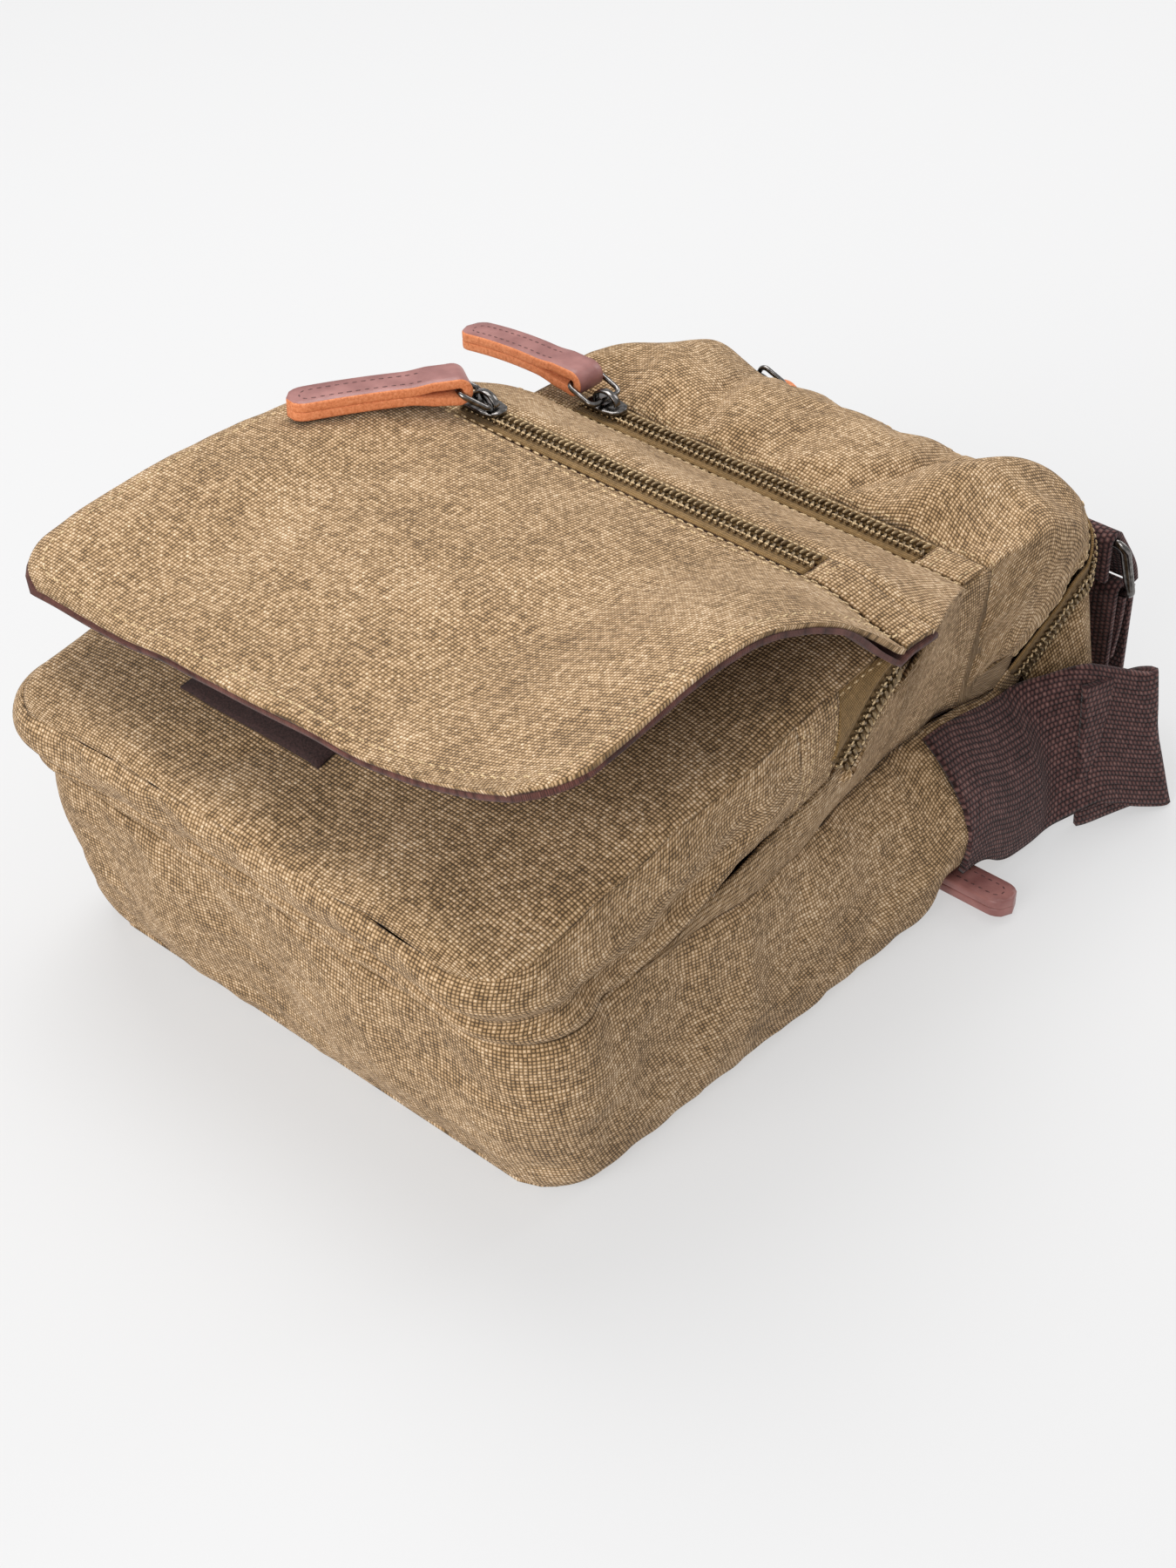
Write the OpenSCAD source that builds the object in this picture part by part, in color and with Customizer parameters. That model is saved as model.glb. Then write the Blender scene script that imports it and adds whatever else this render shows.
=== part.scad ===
// Small canvas messenger bag lying on its back, with flap, five zips and a folded shoulder strap.
// The frame: +X to the bag's right as seen from its front, +Y to its top, +Z out of its front.
// Heights along Y are counted from the bottom edge of the back, and centred() moves them to the origin.

/* [Body] */
// Width of the back panel
body_w = 178; // [170:1:190]
// Height of the back panel
body_h = 240; // [238:1:242]
// Depth of the main compartment at the bottom
depth_bottom = 60; // [56:1:62]
// Depth of the main compartment beside the strap
depth_side = 50; // [49:1:54]
// Lean of the bottom, from the back edge to the front seam
bottom_lean = 14.7; // [8:0.1:18]
// Thickness of the canvas
canvas = 1.6; // [1:0.1:2]

/* [Front pocket] */
// Height of the pocket face's lower edge above the table
face_low = 85; // [80:1:90]
// Height of the pocket face's upper edge above the table
face_high = 109.5; // [106:1:111]
// Where the pocket's top is along the bag
pocket_top = 130; // [128:1:131]

/* [Flap] */
// Half width of the flap
flap_half = 96; // [92:1:97]
// Where the flap folds along the bag
ridge_y = 135.5; // [135:0.5:136]
// Height of the fold above the table
ridge_z = 118; // [117:0.5:119]
// Where the flap's free edge is along the bag
free_y = -10; // [-14:1:-6]

/* [Zips] */
// Half length of the straight zips
zip_half = 62; // [58:1:64]
// Half width of a zip's tape
tape_half = 5.4; // [5:0.1:6]
// Half width of a zip's chain
chain_half = 3.2; // [3:0.1:3.4]
// Length of a leather pull
pull_len = 47; // [40:1:50]
// Width of a leather pull
pull_w = 10.5; // [9:0.1:11]
// Thickness of a leather pull, folded double
pull_t = 5.6; // [4.5:0.1:5.8]

/* [Strap] */
// Width of the webbing
web_w = 48; // [46:1:50]
// Thickness of the webbing
web_t = 1.8; // [1.4:0.1:2]
// Folded layers of the long strap
layers = 7; // [5:2:7]
// Spacing of the folded layers
layer_gap = 3.2; // [3:0.1:3.4]

/* [Hidden] */
$fn = 32;
half_w = body_w / 2;
gap = 0.3;
corner = 16;
top_corner = 14;
back_zip_y = 169;
back_zip_z = 10.5;
face_crown = 2.5;
face_drop = 22.5;
pocket_base = 87;
patch_t = 1.6;
flap_t = 1.2;
lining_t = 0.8;
flap_zip_y = ridge_y - 8;
middle_zip_y = 177;
middle_zip_z = 98;
main_zip_z = 79.5;
main_top_y = 245;
pocket_zip_z = 99;
chain_rise = 2;
coil_gap = 0.7;
plate_z = 2.2;
plate_t = 1.3;
bar_z = 4.9;
wire = 0.8;
link_len = 10.4;
link_w = 12.6;
link_bend = 2.2;
eye_r = 2.8;
eye_bore = 1.3;
strap_z = 3;
strap_out = 1.6;
ring_low = [259.5, 53];
ring_high = [252.5, 73];
ring_wire = 1.6;
stack_y = 268;
stack_right = 22;
stack_left = -76;
canvas_color = [0.62, 0.53, 0.36];
lining_color = [0.27, 0.18, 0.16];
web_color = [0.25, 0.16, 0.15];
metal_color = [0.3, 0.3, 0.31];
leather_color = [0.55, 0.27, 0.17];
coil_color = [0.45, 0.4, 0.28];

// ---- helpers ----
function ramp(a, b, t) = let (s = min(1, max(0, (t - a) / (b - a)))) s * s * (3 - 2 * s);
function mix(a, b, t) = a + (b - a) * t;
function unit(v) = v / norm(v);
function arch(f) = 4 * f * (1 - f);
function steps(a, b, n) = [for (i = [0:n]) a + (b - a) * i / n];

function grid_normal(g, i, j) =
    let (a = g[min(i + 1, len(g) - 1)][j] - g[max(i - 1, 0)][j],
         b = g[i][min(j + 1, len(g[0]) - 1)] - g[i][max(j - 1, 0)])
    unit(cross(a, b));

// A thick sheet over a grid of points, from lo to hi along the grid's normal
module shell(g, lo, hi) {
    cols = len(g[0]);
    ring = 2 * cols;
    rows = len(g);
    points = [for (i = [0:rows - 1], j = [0:ring - 1])
        let (k = j < cols ? j : ring - 1 - j) g[i][k] + grid_normal(g, i, k) * (j < cols ? hi : lo)];
    sides = [for (i = [0:rows - 2], j = [0:ring - 1])
        let (a = i * ring + j, b = i * ring + (j + 1) % ring) each [[a, b, b + ring], [a, b + ring, a + ring]]];
    ends = [for (j = [0:cols - 2])
        let (a = j, b = j + 1, c = ring - 2 - j, d = ring - 1 - j, e = (rows - 1) * ring)
        each [[a, c, b], [a, d, c], [a + e, b + e, c + e], [a + e, c + e, d + e]]];
    polyhedron(points, concat(sides, ends), convexity = 8);
}

module centred() {
    translate([0, -body_h / 2, 0]) children();
}

// Half width of a panel with rounded corners, at a height y above its straight end
function rounded(half, r, y) = y >= r ? half : half - r + sqrt(max(0.04, r * r - (r - y) * (r - y)));

// An outline round the bottom of a bag: points with outward normals, right side down to left side up
function bottom_path(half, r, top) = concat(
    [for (y = steps(top, r, 14)) [half, y, 1, 0]],
    [for (a = [-15:-15:-75]) [half - r + r * cos(a), r + r * sin(a), cos(a), sin(a)]],
    [for (x = steps(half - r, r - half, 8)) [x, 0, 0, -1]],
    [for (a = [-105:-15:-165]) [r - half + r * cos(a), r + r * sin(a), cos(a), sin(a)]],
    [for (y = steps(r, top, 14)) [-half, y, -1, 0]]);

// The same round the top: right side up, across, left side down
function top_path(half, r, base, top) = concat(
    [for (y = steps(base, top - r, 4)) [half, y, 1, 0]],
    [for (a = [15:15:75]) [half - r + r * cos(a), top - r + r * sin(a), cos(a), sin(a)]],
    [for (x = steps(half - r, r - half, 8)) [x, top, 0, 1]],
    [for (a = [105:15:165]) [r - half + r * cos(a), top - r + r * sin(a), cos(a), sin(a)]],
    [for (y = steps(top - r, base, 4)) [-half, y, -1, 0]]);

// ---- surfaces ----
function groove(y) = back_zip_z * ramp(148, 162, y) * (1 - ramp(176, 190, y));
function seam_z(y) = depth_bottom - (depth_bottom - depth_side) * ramp(20, 150, y) - 5 * ramp(170, 206, y);
function side_inset(y) = 17 * ramp(60, 165, y);
function wall_z(y) = depth_bottom + 1.5 + 35 * pow(min(171, max(0, y)) / 171, 1.8);
function wall_half(y) = half_w - 3 - 7 * ramp(100, 171, y);
function face_z(y) = mix(face_low, face_high, (y + face_drop) / (pocket_top + face_drop));

function gusset_lift(e) = e[2] > 0.9 ? 9 * ramp(150, 161, e[1]) * (1 - ramp(177, 188, e[1])) : 0;
function main_gusset_pt(e, f) =
    let (out = bottom_lean * max(0, -e[3]) * f - abs(e[2]) * side_inset(e[1]) * pow(f, 2.5) + 3.5 * arch(f))
    [e[0] + e[2] * out, e[1] + e[3] * out, mix(gusset_lift(e), seam_z(e[1]), f)];

// Centre line of the main zip: point and outward normal, over the top and down both corners
function main_zip_side(s) = [mix(73, 79, s), mix(212, 229, s), mix(46, 68, s)];
function main_zip_right() = concat(
    [for (s = steps(0, 1, 4)) [main_zip_side(s), unit([1, 0.1 + 0.15 * s, 0.1])]],
    [for (a = [20:17.5:90]) [[65 + 14.5 * cos(a), 230.5 + 14.5 * sin(a), mix(68, main_zip_z, ramp(0, 80, a))],
        [cos(a), sin(a), 0]]]);
function flip_x(p) = [[-p[0].x, p[0].y, p[0].z], [-p[1].x, p[1].y, p[1].z]];
main_zip_path = let (r = main_zip_right(), n = len(r)) concat(r,
    [for (x = steps(62, -62, 6)) [[x, main_top_y, main_zip_z], [0, 1, 0]]],
    [for (i = [n - 1:-1:0]) flip_x(r[i])]);

function pocket_path() = concat(
    [for (y = steps(103.5, 116, 4)) [half_w + 1.3, y, 1, 0]],
    [for (a = [15:15:75]) [half_w - 13 + 14.3 * cos(a), 117.2 + 14.3 * sin(a), cos(a), sin(a)]],
    [for (x = steps(76, -76, 8)) [x, 131.5, 0, 1]],
    [for (a = [105:15:165]) [13 - half_w + 14.3 * cos(a), 117.2 + 14.3 * sin(a), cos(a), sin(a)]],
    [for (y = steps(116, 103.5, 4)) [-half_w - 1.3, y, -1, 0]]);
pocket_zip_path = [for (e = pocket_path())
    [[e[0], e[1], pocket_zip_z - 20 * (1 - ramp(100, 131, e[1]))], unit([e[2], e[3], 0])]];

// Direction across a zip path at point i
function across(path, i) =
    let (a = path[max(i - 1, 0)][0], b = path[min(i + 1, len(path) - 1)][0]) unit(cross(path[i][1], b - a));

// A strip of a zip path between two distances across it
module path_strip(path, from, to, lo, hi) {
    g = [for (i = [0:len(path) - 1]) [for (w = [from, to]) path[i][0] + across(path, i) * w]];
    shell(g, lo, hi);
}

module path_tape(path) {
    path_strip(path, coil_gap, tape_half, -0.4, 0.4);
    path_strip(path, -tape_half, -coil_gap, -0.4, 0.4);
}

module path_chain(path) {
    path_strip(path, coil_gap, chain_half, 0.65, chain_rise);
    path_strip(path, -chain_half, -coil_gap, 0.65, chain_rise);
}

module straight_tape() {
    for (s = [-1, 1])
        translate([0, s * (coil_gap + tape_half) / 2, 0])
            cube([2 * zip_half, tape_half - coil_gap, 0.8], center = true);
}

module straight_chain() {
    for (s = [-1, 1])
        translate([0, s * (coil_gap + chain_half) / 2, (0.42 + chain_rise) / 2])
            cube([2 * zip_half, chain_half - coil_gap, chain_rise - 0.42], center = true);
}

// The flap's upper surface: flat over its zip, arched below, its right corner lifted
function flap_ridge(x) = ridge_z - 7 * ramp(66, 97, abs(x));
function flap_free(x) = 113.3 + 6 * ramp(-75, 5, x) + 20 * pow(max(0, x - 20) / 75, 2);
function flap_arch(x) = 6 + 14.4 * ramp(30, 95, x) + 6 * ramp(50, 95, -x);
// How the arch runs from the fold (v = 0) to the free edge (v = 1): it rises sooner on the left side
function flap_rise(x, v) = mix(pow(v, 0.35) * pow(1 - v, 0.6) / 0.535, pow(v, 1.1) * pow(1 - v, 1.6) / 0.161,
    ramp(-70, -10, x));
function flap_z(x, y) = let (v = min(1, max(0, ((ridge_y - y) / (ridge_y - free_y) - 0.1) / 0.9)))
    mix(flap_ridge(x), flap_free(x), v) + flap_arch(x) * flap_rise(x, v);
function flap_half_at(y) = rounded(flap_half, corner, y - free_y);

// Height through a sheet of unit thickness where the flap slopes
function flap_steep(x, y) = min(3, norm([1, flap_z(x + 0.5, y) - flap_z(x - 0.5, y),
    flap_z(x, y + 0.5) - flap_z(x, y - 0.5)]) + 0.25);

// The lining passes under the flap's zip slider and end tabs
function lining_dip(x, y) = 2.3 * ramp(98, 112, y) * (1 - ramp(84, 94, abs(x)) * ramp(118, 124, y))
    + 1.2 * ramp(70, 92, -x) * ramp(104, 112, y) * (1 - ramp(118, 124, y));
function hinge_z(x, s) = mix(flap_ridge(x) - 0.3, middle_zip_z, s) + 1.5 * arch(s);

// ---- fabric of the body ----
// A back panel: its flat side profile carried across the bag and cut to an outline with two round corners
module back_panel(profile, corner_y, r, up) {
    half = half_w - canvas - gap;
    color(canvas_color) centred()
        intersection() {
            translate([-half, 0, 0]) rotate([90, 0, 90]) linear_extrude(2 * half)
                polygon(concat(profile, [for (i = [len(profile) - 1:-1:0]) profile[i] + [0, canvas]]));
            linear_extrude(back_zip_z + 2 * canvas) {
                for (s = [-1, 1]) translate([s * (half - r), corner_y]) circle(r, $fn = 48);
                translate([r - half, up ? 0 : corner_y - r]) square([2 * (half - r), up ? corner_y + r : body_h]);
                translate([-half, up ? 0 : corner_y]) square([2 * half, up ? corner_y : body_h]);
            }
        }
}

module back_panel_lower() {
    back_panel(concat([[canvas + gap, 0]], [for (y = steps(148, 163.4, 6)) [y, groove(y)]]),
        corner, corner - canvas - gap, false);
}

module back_panel_upper() {
    back_panel(concat([for (y = steps(174.6, 190, 6)) [y, groove(y)]], [[body_h - canvas - gap, 0]]),
        body_h - top_corner, top_corner - canvas - gap, true);
}

module back_pocket_wall() {
    centred() color(lining_color)
        shell([for (y = concat(steps(14, 148, 5), steps(153, 184, 6)))
            [for (x = steps(-74, 74, 4)) [x, y, 3 + 1.25 * groove(y)]]], 0, 1);
}

module at_back_zip() {
    centred() translate([0, back_zip_y, back_zip_z]) rotate([180, 0, 0]) children();
}

module back_zip_tape() {
    color(canvas_color) at_back_zip() straight_tape();
}

module back_zip_chain() {
    color(coil_color) at_back_zip() straight_chain();
}

module back_zip_tabs() {
    centred() color(canvas_color)
        for (s = [-1, 1])
            translate([s * (zip_half + 5.8), back_zip_y, back_zip_z])
                cube([11, 2 * tape_half, canvas], center = true);
}

module main_gusset() {
    centred() color(canvas_color)
        shell([for (e = bottom_path(half_w, corner, 206)) [for (f = steps(0, 1, 4)) main_gusset_pt(e, f)]],
            0, canvas);
}

// The band behind the main zip, from the back panel's edge up to the zip
module top_gusset() {
    back = top_path(half_w, top_corner, 208, body_h);
    zip = main_zip_path;
    n = len(zip);
    m = len(back);
    centred() color(canvas_color)
        shell([for (i = [0:n - 1])
            let (k = (m - 1) * i / (n - 1), a = floor(k), b = min(a + 1, m - 1), t = k - a,
                 p = mix([back[a][0], back[a][1], 0], [back[b][0], back[b][1], 0], t),
                 q = zip[i][0] - across(zip, i) * (tape_half + gap))
            [for (f = steps(0, 1, 4)) mix(p, q, f) + 3 * arch(f) * unit([zip[i][1].x, zip[i][1].y, 0])]],
            -canvas, 0);
}

module main_zip_tape() {
    color(canvas_color) centred() path_tape(main_zip_path);
}

module main_zip_chain() {
    color(coil_color) centred() path_chain(main_zip_path);
}

module main_zip_tabs() {
    centred() color(canvas_color)
        for (s = [-1, 1])
            shell([for (f = [0, 1]) [for (w = [-tape_half, 2.5])
                let (p = main_zip_side(-0.04 - 0.14 * f)) [s * p.x, p.y - 0.8 * w, p.z + 0.5 * w]]],
                -canvas / 2, canvas / 2);
}

// The yoke's lower edge: along the middle zip and its tabs, then down the middle gusset's top at each side
function yoke_low(t) = let (u = max(0, abs(t) - 0.62) / 0.38)
    [sign(t) * mix(min(abs(t) / 0.62, 1) * 79.5, 73, u), mix(183, 187, u), mix(middle_zip_z, 50, u)];

module yoke_panel() {
    zip = main_zip_path;
    n = len(zip);
    centred() color(canvas_color)
        shell([for (i = [0:n - 1])
            let (p = zip[i][0] + across(zip, i) * (tape_half + 2 * gap), q = yoke_low(1 - 2 * i / (n - 1)))
            [for (f = steps(0, 1, 5)) mix(p, q, f) + arch(f) * [0, 0, 8] + arch(f) * 3 * zip[i][1]]], -canvas, 0);
}

module main_front_panel() {
    centred() color(lining_color)
        shell([for (y = steps(-12, 200, 10))
            [for (x = steps(-1, 1, 6))
                [x * (rounded(half_w, corner, y + 12) - side_inset(y) - canvas - 0.6), y, seam_z(y) - 0.6]]], 0, 1);
}

module middle_gusset(s) {
    centred() color(canvas_color)
        shell([for (y = steps(46, 180, 10))
            let (low = [half_w - side_inset(y) - 0.2, y, seam_z(y) + gap],
                 high = [wall_half(y) + 0.8, y, wall_z(y) - 2 - gap])
            [for (f = s > 0 ? steps(0, 1, 3) : steps(1, 0, 3))
                let (p = mix(low, high, f)) [s * (p.x + 1.5 * arch(f)), p.y, p.z]]], -canvas, 0);
}

module middle_gusset_right() {
    middle_gusset(1);
}

module middle_gusset_left() {
    middle_gusset(-1);
}

module middle_front_panel() {
    centred() color(canvas_color)
        shell([for (y = steps(-12, 170.8, 10))
            [for (x = steps(-1, 1, 6)) [x * (rounded(wall_half(y), corner, y + 12) - gap), y, wall_z(y)]]],
            0, canvas);
}

module at_middle_zip() {
    centred() translate([0, middle_zip_y, middle_zip_z]) children();
}

module middle_zip_tape() {
    color(canvas_color) at_middle_zip() straight_tape();
}

module middle_zip_chain() {
    color(coil_color) at_middle_zip() straight_chain();
}

module middle_zip_tabs() {
    color(canvas_color) at_middle_zip()
        for (s = [-1, 1])
            translate([s * (zip_half + 8.3), 0, 0]) cube([16, 2 * tape_half, canvas], center = true);
}

module hinge_strip() {
    centred() color(canvas_color)
        shell([for (s = steps(0, 1, 6))
            [for (x = concat([-1, -0.92, -0.82, -0.68], steps(-0.5, 0.5, 2), [0.68, 0.82, 0.92, 1]))
                let (h = mix(flap_half - 1, 80, s)) [h * x, mix(ridge_y + gap, 171.2, s), hinge_z(h * x, s)]]],
            0, canvas);
}

// ---- front pocket ----
module pocket_face() {
    low = -face_drop;
    centred() color(canvas_color)
        shell([for (y = concat(steps(low + 0.3, low + corner, 4), steps(6, 108, 5),
                steps(pocket_top - corner, pocket_top - 0.3, 4)))
            [for (x = steps(-1, 1, 8))
                let (h = min(rounded(half_w, corner, y - low), rounded(half_w, corner, pocket_top - y)))
                [h * x, y, face_z(y) + face_crown * (1 - pow(x, 2))]]], 0, canvas);
}

// From the main gusset's seam (f = 0) up to the edge of the pocket's face (f = 1)
function pocket_gusset_pt(e, f) =
    let (low = max(0, -e[3]), foot = bottom_lean * low - 1.2, y = e[1] - face_drop * (1 - ramp(corner, pocket_base, e[1])))
    [mix(e[0] + e[2] * foot, e[0], f) + e[2] * 2 * arch(f), mix(e[1] + e[3] * foot, y, f) + e[3] * 2 * arch(f),
     mix(mix(wall_z(e[1]), depth_bottom + 1.5, low) + gap, face_z(y) - canvas - gap, f)];

module pocket_gusset() {
    centred() color(canvas_color)
        shell([for (e = bottom_path(half_w, corner, pocket_base)) [for (f = steps(0, 1, 4)) pocket_gusset_pt(e, f)]],
            0, canvas);
}

module pocket_zip_tabs() {
    centred() color(canvas_color)
        for (s = [-1, 1])
            shell([for (y = s > 0 ? [100.2, 94, pocket_base + gap] : [pocket_base + gap, 94, 100.2])
                [for (f = steps(0, 1, 4)) pocket_gusset_pt([s * half_w, y, s, 0], f)]], 0, canvas);
}

// A band between the pocket's zip and the wall behind it, or between the zip and the face
module pocket_band(from_wall) {
    zip = pocket_zip_path;
    path = pocket_path();
    centred() color(canvas_color)
        shell([for (i = [len(zip) - 1:-1:0])
            let (e = path[i], y = e[1] - 1.3 * e[3], reach = tape_half + (from_wall ? 4 : 2) * gap,
                 edge = zip[i][0] + across(zip, i) * (from_wall ? -reach : reach),
                 far_z = from_wall ? min(wall_z(e[1]) + gap, edge[2] - canvas)
                     : face_z(min(y, pocket_top - 1)) - canvas - gap,
                 tuck = 1.2 * ramp(3, 9, abs(edge[2] - far_z)),
                 far = [e[0] - tuck * e[2], e[1] - tuck * e[3], far_z])
            from_wall ? [far, edge] : [edge, far]], 0, canvas);
}

module pocket_top_gusset() {
    pocket_band(true);
}

module pocket_zip_rim() {
    pocket_band(false);
}

module pocket_zip_tape() {
    color(canvas_color) centred() path_tape(pocket_zip_path);
}

module pocket_zip_chain() {
    color(coil_color) centred() path_chain(pocket_zip_path);
}

module loop_patch() {
    centred() color(web_color)
        shell([for (y = steps(10.5, 40, 2)) [for (x = steps(-52, 2, 3))
            [x, y, face_z(y) + face_crown * (1 - pow(x / half_w, 2)) + gap]]], -patch_t, 0);
}

// ---- flap ----
function flap_grid(from, to, n, drop) = [for (y = steps(from, to, n))
    [for (x = concat([-1, -0.92, -0.82, -0.68], steps(-0.5, 0.5, 4), [0.68, 0.82, 0.92, 1]))
        let (h = flap_half_at(y)) [h * x, y, flap_z(h * x, y) - drop]]];

module flap_canvas() {
    centred() color(canvas_color)
        shell(concat(flap_grid(free_y + 0.2, free_y + corner, 5, 0),
            flap_grid(free_y + corner + 10, flap_zip_y - tape_half - 2 * gap, 10, 0)), 0, flap_t);
}

module flap_top_strip() {
    centred() color(canvas_color)
        shell(flap_grid(flap_zip_y + tape_half + gap, ridge_y - gap, 1, 0), 0, flap_t);
}

module flap_lining() {
    rows = concat(steps(free_y + 0.4, free_y + corner, 5), steps(20, 108, 7), steps(112, ridge_y - 0.8, 4));
    centred() color(lining_color)
        shell([for (y = rows)
            [for (x = concat([-1, -0.92, -0.82, -0.68], steps(-0.5, 0.5, 4), [0.68, 0.82, 0.92, 1]))
                let (h = flap_half_at(y) - 0.4)
                [h * x, y, flap_z(h * x, y) - (flap_t + gap) * flap_steep(h * x, y) - lining_dip(h * x, y)]]],
            0, lining_t);
}

module at_flap_zip() {
    centred() translate([0, flap_zip_y, ridge_z - 0.4]) children();
}

module flap_zip_tape() {
    color(canvas_color) at_flap_zip() straight_tape();
}

module flap_zip_chain() {
    color(coil_color) at_flap_zip() straight_chain();
}

module flap_zip_tabs() {
    centred() color(canvas_color)
        for (s = [-1, 1])
            shell([for (y = [flap_zip_y - tape_half, flap_zip_y, flap_zip_y + tape_half])
                [for (k = steps(0, 1, 4)) let (x = s > 0 ? mix(zip_half + gap, flap_half - 0.2, k)
                    : mix(0.2 - flap_half, -zip_half - gap, k)) [x, y, flap_z(x, y)]]], 0, flap_t);
}

module hook_patch() {
    centred() color(web_color)
        shell([for (y = steps(2, 28, 2)) [for (x = steps(-48, 2, 3)) [x, y, flap_z(x, y) - flap_t - lining_t - 3 * gap]]],
            0, patch_t);
}

// ---- sliders, rings and pulls ----
// A slider stands on its zip: local x along the zip, local z out of the fabric
module slider() {
    color(metal_color) {
        translate([-6, -4, plate_z]) cube([12, 8, plate_t]);
        translate([-5, -4, -2.7]) cube([10, 8, plate_t]);
        translate([-2.5, -0.4, -2.7]) cube([5, 0.8, plate_z + 3.4]);
        for (s = [-1, 1])
            translate([s * 3.7 - 0.5, -0.8, plate_z + plate_t - 0.1]) cube([1, 1.6, 3.4]);
        translate([-4.2, -0.8, plate_z + plate_t + 2.6]) cube([8.4, 1.6, 1]);
    }
}

// A ring link: local x from its near bar to its far bar
module link() {
    color(metal_color) {
        for (x = [0, link_len])
            translate([x, 0, 0]) rotate([90, 0, 0]) cylinder(h = link_w - 2 * link_bend, r = wire, center = true);
        for (s = [-1, 1])
            translate([link_bend, s * link_w / 2, 0]) rotate([0, 90, 0])
                cylinder(h = link_len - 2 * link_bend, r = wire);
        for (a = [0:3])
            translate([a == 0 || a == 3 ? link_len - link_bend : link_bend,
                (a < 2 ? 1 : -1) * (link_w / 2 - link_bend), 0])
                rotate([0, 0, a * 90]) rotate_extrude(angle = 90) translate([link_bend, 0]) circle(wire);
    }
}

// A leather pull folded round a ring's far bar: local x from the bar to its rounded tip
module pull() {
    color(leather_color)
        difference() {
            union() {
                translate([eye_r - 0.6, -pull_w / 2, -pull_t / 2])
                    cube([pull_len - pull_w / 2 - eye_r + 0.6, pull_w, pull_t]);
                translate([pull_len - pull_w / 2, 0, -pull_t / 2]) cylinder(h = pull_t, r = pull_w / 2);
                rotate([90, 0, 0]) cylinder(h = 8, r = eye_r, center = true);
            }
            rotate([90, 0, 0]) cylinder(h = 9, r = eye_bore, center = true);
        }
}

// Places for each zip's slider, ring and pull: [slider position, ring turn, ring rise, pull slope]
flap_set = [-55, 238, 35, 0];
middle_set = [-54, 180, 20, -2];
pocket_set = [-40, 0, 10, 0];
main_set = [-56, 22, 3, 0];
back_set = [49.5, 0, 6, 0];

module on_slider(set) {
    translate([set[0], 0, 0]) children();
}

module on_ring(set) {
    translate([set[0], 0, bar_z]) rotate([0, 0, set[1]]) rotate([0, -set[2], 0]) children();
}

module on_pull(set) {
    translate([set[0], 0, bar_z]) rotate([0, 0, set[1]]) rotate([0, -set[2], 0])
        translate([link_len, 0, 0]) rotate([0, set[2] - set[3], 0]) children();
}

module at_pocket_zip() {
    centred() translate([0, 131.5, pocket_zip_z]) rotate([-90, 0, 0]) children();
}

module at_main_zip() {
    centred() translate([0, main_top_y, main_zip_z]) rotate([-90, 0, 0]) children();
}

module flap_slider() {
    at_flap_zip() on_slider(flap_set) slider();
}

module flap_pull_ring() {
    at_flap_zip() on_ring(flap_set) link();
}

module flap_leather_pull() {
    at_flap_zip() on_pull(flap_set) pull();
}

module middle_slider() {
    at_middle_zip() on_slider(middle_set) slider();
}

module middle_pull_ring() {
    at_middle_zip() on_ring(middle_set) link();
}

module middle_leather_pull() {
    at_middle_zip() on_pull(middle_set) pull();
}

module pocket_slider() {
    at_pocket_zip() on_slider(pocket_set) slider();
}

module pocket_pull_ring() {
    at_pocket_zip() on_ring(pocket_set) link();
}

module pocket_leather_pull() {
    at_pocket_zip() on_pull(pocket_set) pull();
}

module main_slider() {
    at_main_zip() on_slider(main_set) slider();
}

module main_pull_ring() {
    at_main_zip() on_ring(main_set) link();
}

module main_leather_pull() {
    at_main_zip() on_pull(main_set) pull();
}

module back_slider() {
    at_back_zip() on_slider(back_set) slider();
}

module back_pull_ring() {
    at_back_zip() on_ring(back_set) link();
}

module back_leather_pull() {
    at_back_zip() on_pull(back_set) pull();
}

// ---- strap ----
// The sewn end on the right gusset, the fold out and back, and the run round the corner.
// Each row is a stretch of the strap: its lower edge and its upper edge.
strap_rows = [
    [[99.5, 221, 9], [90, 219, 54]],
    [[103.5, 230, 4], [95, 227, 51]],
    [[109, 240, 1], [101, 235, 47.5]],
    [[111, 244, 0.5], [103.5, 238.5, 47]],
    [[108.5, 246, 0.5], [101.5, 240.5, 47]],
    [[104.5, 242, 0.5], [98, 236, 47.5]],
    [[100, 228, 0.5], [95.4, 226, 48]],
    [[97.4, 219, 0.5], [93.4, 219, 48]],
    [[96, 216.6, 0.5], [92.6, 217.2, 48]]];

module strap_right() {
    sewn = [for (y = steps(175, 206, 4)) [for (f = steps(0, 1, 5))
        let (p = main_gusset_pt([half_w, y, 1, 0], mix(0.03, 0.98, f))) p + [strap_out, 0, 0.3]]];
    free = [for (r = strap_rows) [for (f = steps(0, 1, 5)) mix(r[0], r[1], f)]];
    centred() color(web_color) shell(concat(sewn, free), -web_t / 2, web_t / 2);
}

// A line of points made into a band of the webbing's thickness
function line_normal(p, i) = let (a = p[max(i - 1, 0)], b = p[min(i + 1, len(p) - 1)], d = unit(b - a)) [-d.y, d.x];
module band(p) {
    polygon(concat([for (i = [0:len(p) - 1]) p[i] + line_normal(p, i) * web_t / 2],
        [for (i = [len(p) - 1:-1:0]) p[i] - line_normal(p, i) * web_t / 2]));
}

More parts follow.
